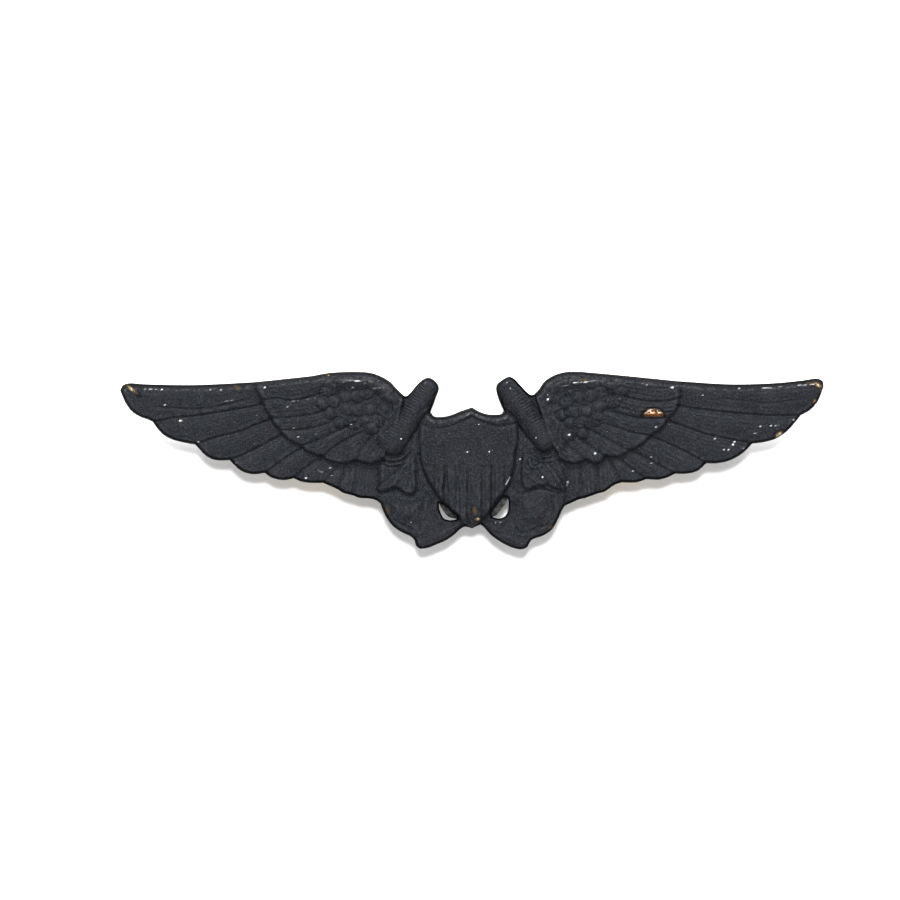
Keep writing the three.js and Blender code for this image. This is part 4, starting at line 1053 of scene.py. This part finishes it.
def arc(cx, cz, r, start, stop, n=6):
    return [[cx + r * math.cos(math.radians(a)), cz + r * math.sin(math.radians(a))]
            for a in np.linspace(start, stop, n)]


def depth(v):
    """Height of what lies this far behind the clutch's face towards the cloth."""
    return CLOTH_FACE - v


def behind(text):
    """Profile points given as radius and distance behind the face towards the cloth."""
    return [[r, depth(v)] for r, v in points(text)]


AXIS = 0.002  # closes a turned profile just off its middle line
SLOT_WIDE, SLOT_FROM, SLOT_TO = 2.55, 2.45, 6  # half width, and reach from the shell's middle
SLOT_LOW, SLOT_TOP = 0.95, 2.45  # how far behind the cloth face a slot begins and ends
BLOCK_SIDES = [(0, 1, 3, 2), (4, 6, 7, 5), (0, 4, 5, 1), (2, 3, 7, 6), (0, 2, 6, 4), (1, 5, 7, 3)]
LEVER_WIDE, LEVER_THICK = 2.3, 0.38  # half width and sheet thickness
EAR_END = 5.58  # how far behind the cloth face the ears reach
BITE = 0.62  # radius of the jaws' half-round notch for the post
LEVER_PATH = smooth(points("0.1,1.5 2.4,1.5 3.3,1.6 3.95,1.95 4.3,2.6 4.6,3.8 4.85,5 4.95,5.58"), 8)

for label in ("left", "right"):
    body = "clutch_" + label
    foot_low, foot_high = [c[2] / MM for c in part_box("post_foot_" + label)]
    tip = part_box("post_" + label)[0][2] / MM
    turned("solder_foot_" + label,
           [[AXIS, foot_low], [0.62, foot_low - 0.02], [0.75, foot_low + 0.02], [1.15, foot_low + 0.09],
            [1.4, foot_low + 0.2], [1.5, foot_high - 0.02], [1.5, foot_high], [AXIS, foot_high]],
           "post_foot_" + label, "brass", "badge")
    turned("sharp_post_" + label,
           [[AXIS, tip], [0.07, tip + 0.03], [0.13, tip + 0.16], [0.36, tip + 0.85], [0.5, tip + 1.3],
            [0.55, tip + 1.5], [0.55, 2.3], [0.52, 2.38], [0.45, 2.56], [0.42, 2.66], [0.42, 3],
            [0.45, 3.1], [0.52, 3.26], [0.55, 3.34], [0.55, foot_low], [AXIS, foot_low]],
           "post_" + label, "nickel", "badge", 48)
    rim = arc(5.12, depth(0.98), 0.17, 180, 360, 9)
    turned("base_disc_" + label,
           behind("0.8,0 0.8,0.32 0.86,0.36 1.3,0.36 1.55,0.35 4.8,0.35 4.92,0.42 4.94,0.98") + rim
           + behind("""5.3,0.3 5.26,0.12 5.14,0.02 5,0 3.9,0 3.75,0.05 3.55,0.05 3.4,0 2,0 1.5,0.04
               1.1,0"""), "clutch_base_" + label, "brass", body)
    shell = turned("shell_" + label, behind("""4.12,0.38 4,0.55 3.7,1.7 3.55,2.1 3.2,2.38 2.8,2.45
        1.4,2.45 1.1,2.38 0.8,2.3 0.8,2.6 1,2.68 1.5,2.75 2.85,2.75 3.35,2.66 3.75,2.4 3.95,2 4.25,0.82
        4.35,0.7 4.72,0.68 4.8,0.6 4.8,0.45 4.72,0.38"""), "clutch_shell_" + label, "brass", body)
    mx, my = middle_of("clutch_shell_" + label)
    for way in (-1, 1):
        corners = [(cx, cy, cz) for cx in (mx - SLOT_WIDE, mx + SLOT_WIDE)
                   for cy in sorted((my + way * SLOT_FROM, my + way * SLOT_TO))
                   for cz in (depth(SLOT_TOP), depth(SLOT_LOW))]
        cutter = add_object("cutter", new_mesh("cutter", corners, BLOCK_SIDES))
        boolean = shell.modifiers.new("slot", "BOOLEAN")
        boolean.object, boolean.operation, boolean.solver = cutter, "DIFFERENCE", "EXACT"
        bpy.context.view_layer.update()
        cut = bpy.data.meshes.new_from_object(shell.evaluated_get(bpy.context.evaluated_depsgraph_get()))
        shell.modifiers.clear()
        shell.data = cut
        bpy.data.objects.remove(cutter)

    # levers: a bent strip with a half-round bite at the post and a rounded ear
    reach = reaches(LEVER_PATH)
    total = reach[-1]
    for way, word in ((1, "upper"), (-1, "lower")):
        node = f"clutch_lever_{label}_{word}"
        lever_x, post_y = middle_of(node)[0], middle_of("post_" + label)[1]
        verts, polys, across, m = [], [], np.linspace(-LEVER_WIDE, LEVER_WIDE, 25), 44
        for s in across:
            notch = max(math.sqrt(max(BITE ** 2 - s ** 2, 0)), 0.15)
            corner = max(abs(s) - 1.5, 0)
            row = np.linspace(notch - 0.1, total - (0.8 - math.sqrt(max(0.64 - corner ** 2, 0))), m)
            u, v = [np.interp(row, reach, LEVER_PATH[:, i]) for i in (0, 1)]
            dimple = 0.12 * np.exp(-((row - total + 1.9) / 0.55) ** 2 - (s / 1.1) ** 2)
            verts += [[lever_x + s, post_y + way * (a - b), depth(min(c, EAR_END))]
                      for a, b, c in zip(u, dimple, v)]
        for i in range(len(across) - 1):
            for j in range(m - 1):
                quad = [i * m + j, (i + 1) * m + j, (i + 1) * m + j + 1, i * m + j + 1]
                polys.append(quad if way > 0 else quad[::-1])
        lever = make_object(f"lever_{label}_{word}", verts, polys, "brass", f"lever_{label}_{word}", node)
        thick = lever.modifiers.new("sheet", "SOLIDIFY")
        thick.thickness, thick.offset = LEVER_THICK * MM, 0
        bevel = lever.modifiers.new("edge", "BEVEL")
        bevel.width, bevel.segments, bevel.limit_method = 0.08 * MM, 2, "ANGLE"
        bevel.angle_limit = math.radians(50)

# ---------------- table, light, camera
square = [(-600, -600, 0), (600, -600, 0), (600, 600, 0), (-600, 600, 0)]
table = add_object("table_top", new_mesh("table_top", square, [(0, 1, 2, 3)]))
table.location.z = cad_box[0][2] - 0.00001
table.data.materials.append(white_table())


def area_light(name, place, size, power):
    """A round light aimed at the middle."""
    lamp = bpy.data.lights.new(name, "AREA")
    lamp.shape, lamp.size, lamp.energy = "DISK", size, power
    obj = add_object(name, lamp)
    obj.location = place
    obj.rotation_euler = (Vector() - Vector(place)).to_track_quat("-Z", "Y").to_euler()


area_light("overhead", (0, 0.2, 1.05), 0.14, 9.5)
area_light("key", (-0.1, 0.74, 0.66), 0.3, 8)
area_light("fill", (0.15, -0.6, 0.75), 0.4, 1.8)

world = bpy.data.worlds.new("studio")
scene = bpy.context.scene
scene.world = world
world.use_nodes = True
sky = world.node_tree.nodes["Background"].inputs
sky["Color"].default_value, sky["Strength"].default_value = (1, 1, 1, 1), 0.45

IMAGE_WIDTH = 98.6 * MM  # what the picture takes in, side to side
CAMERA_HEIGHT = 0.7
camera_data = bpy.data.cameras.new("camera")
camera_data.sensor_width = 36
camera_data.lens = 36 * CAMERA_HEIGHT / IMAGE_WIDTH
camera = add_object("camera", camera_data)
camera.location = (-2.4 * MM, 1.15 * MM, CAMERA_HEIGHT + 7 * MM)
scene.camera = camera
scene.view_settings.view_transform = "Standard"
scene.view_settings.look = "High Contrast"
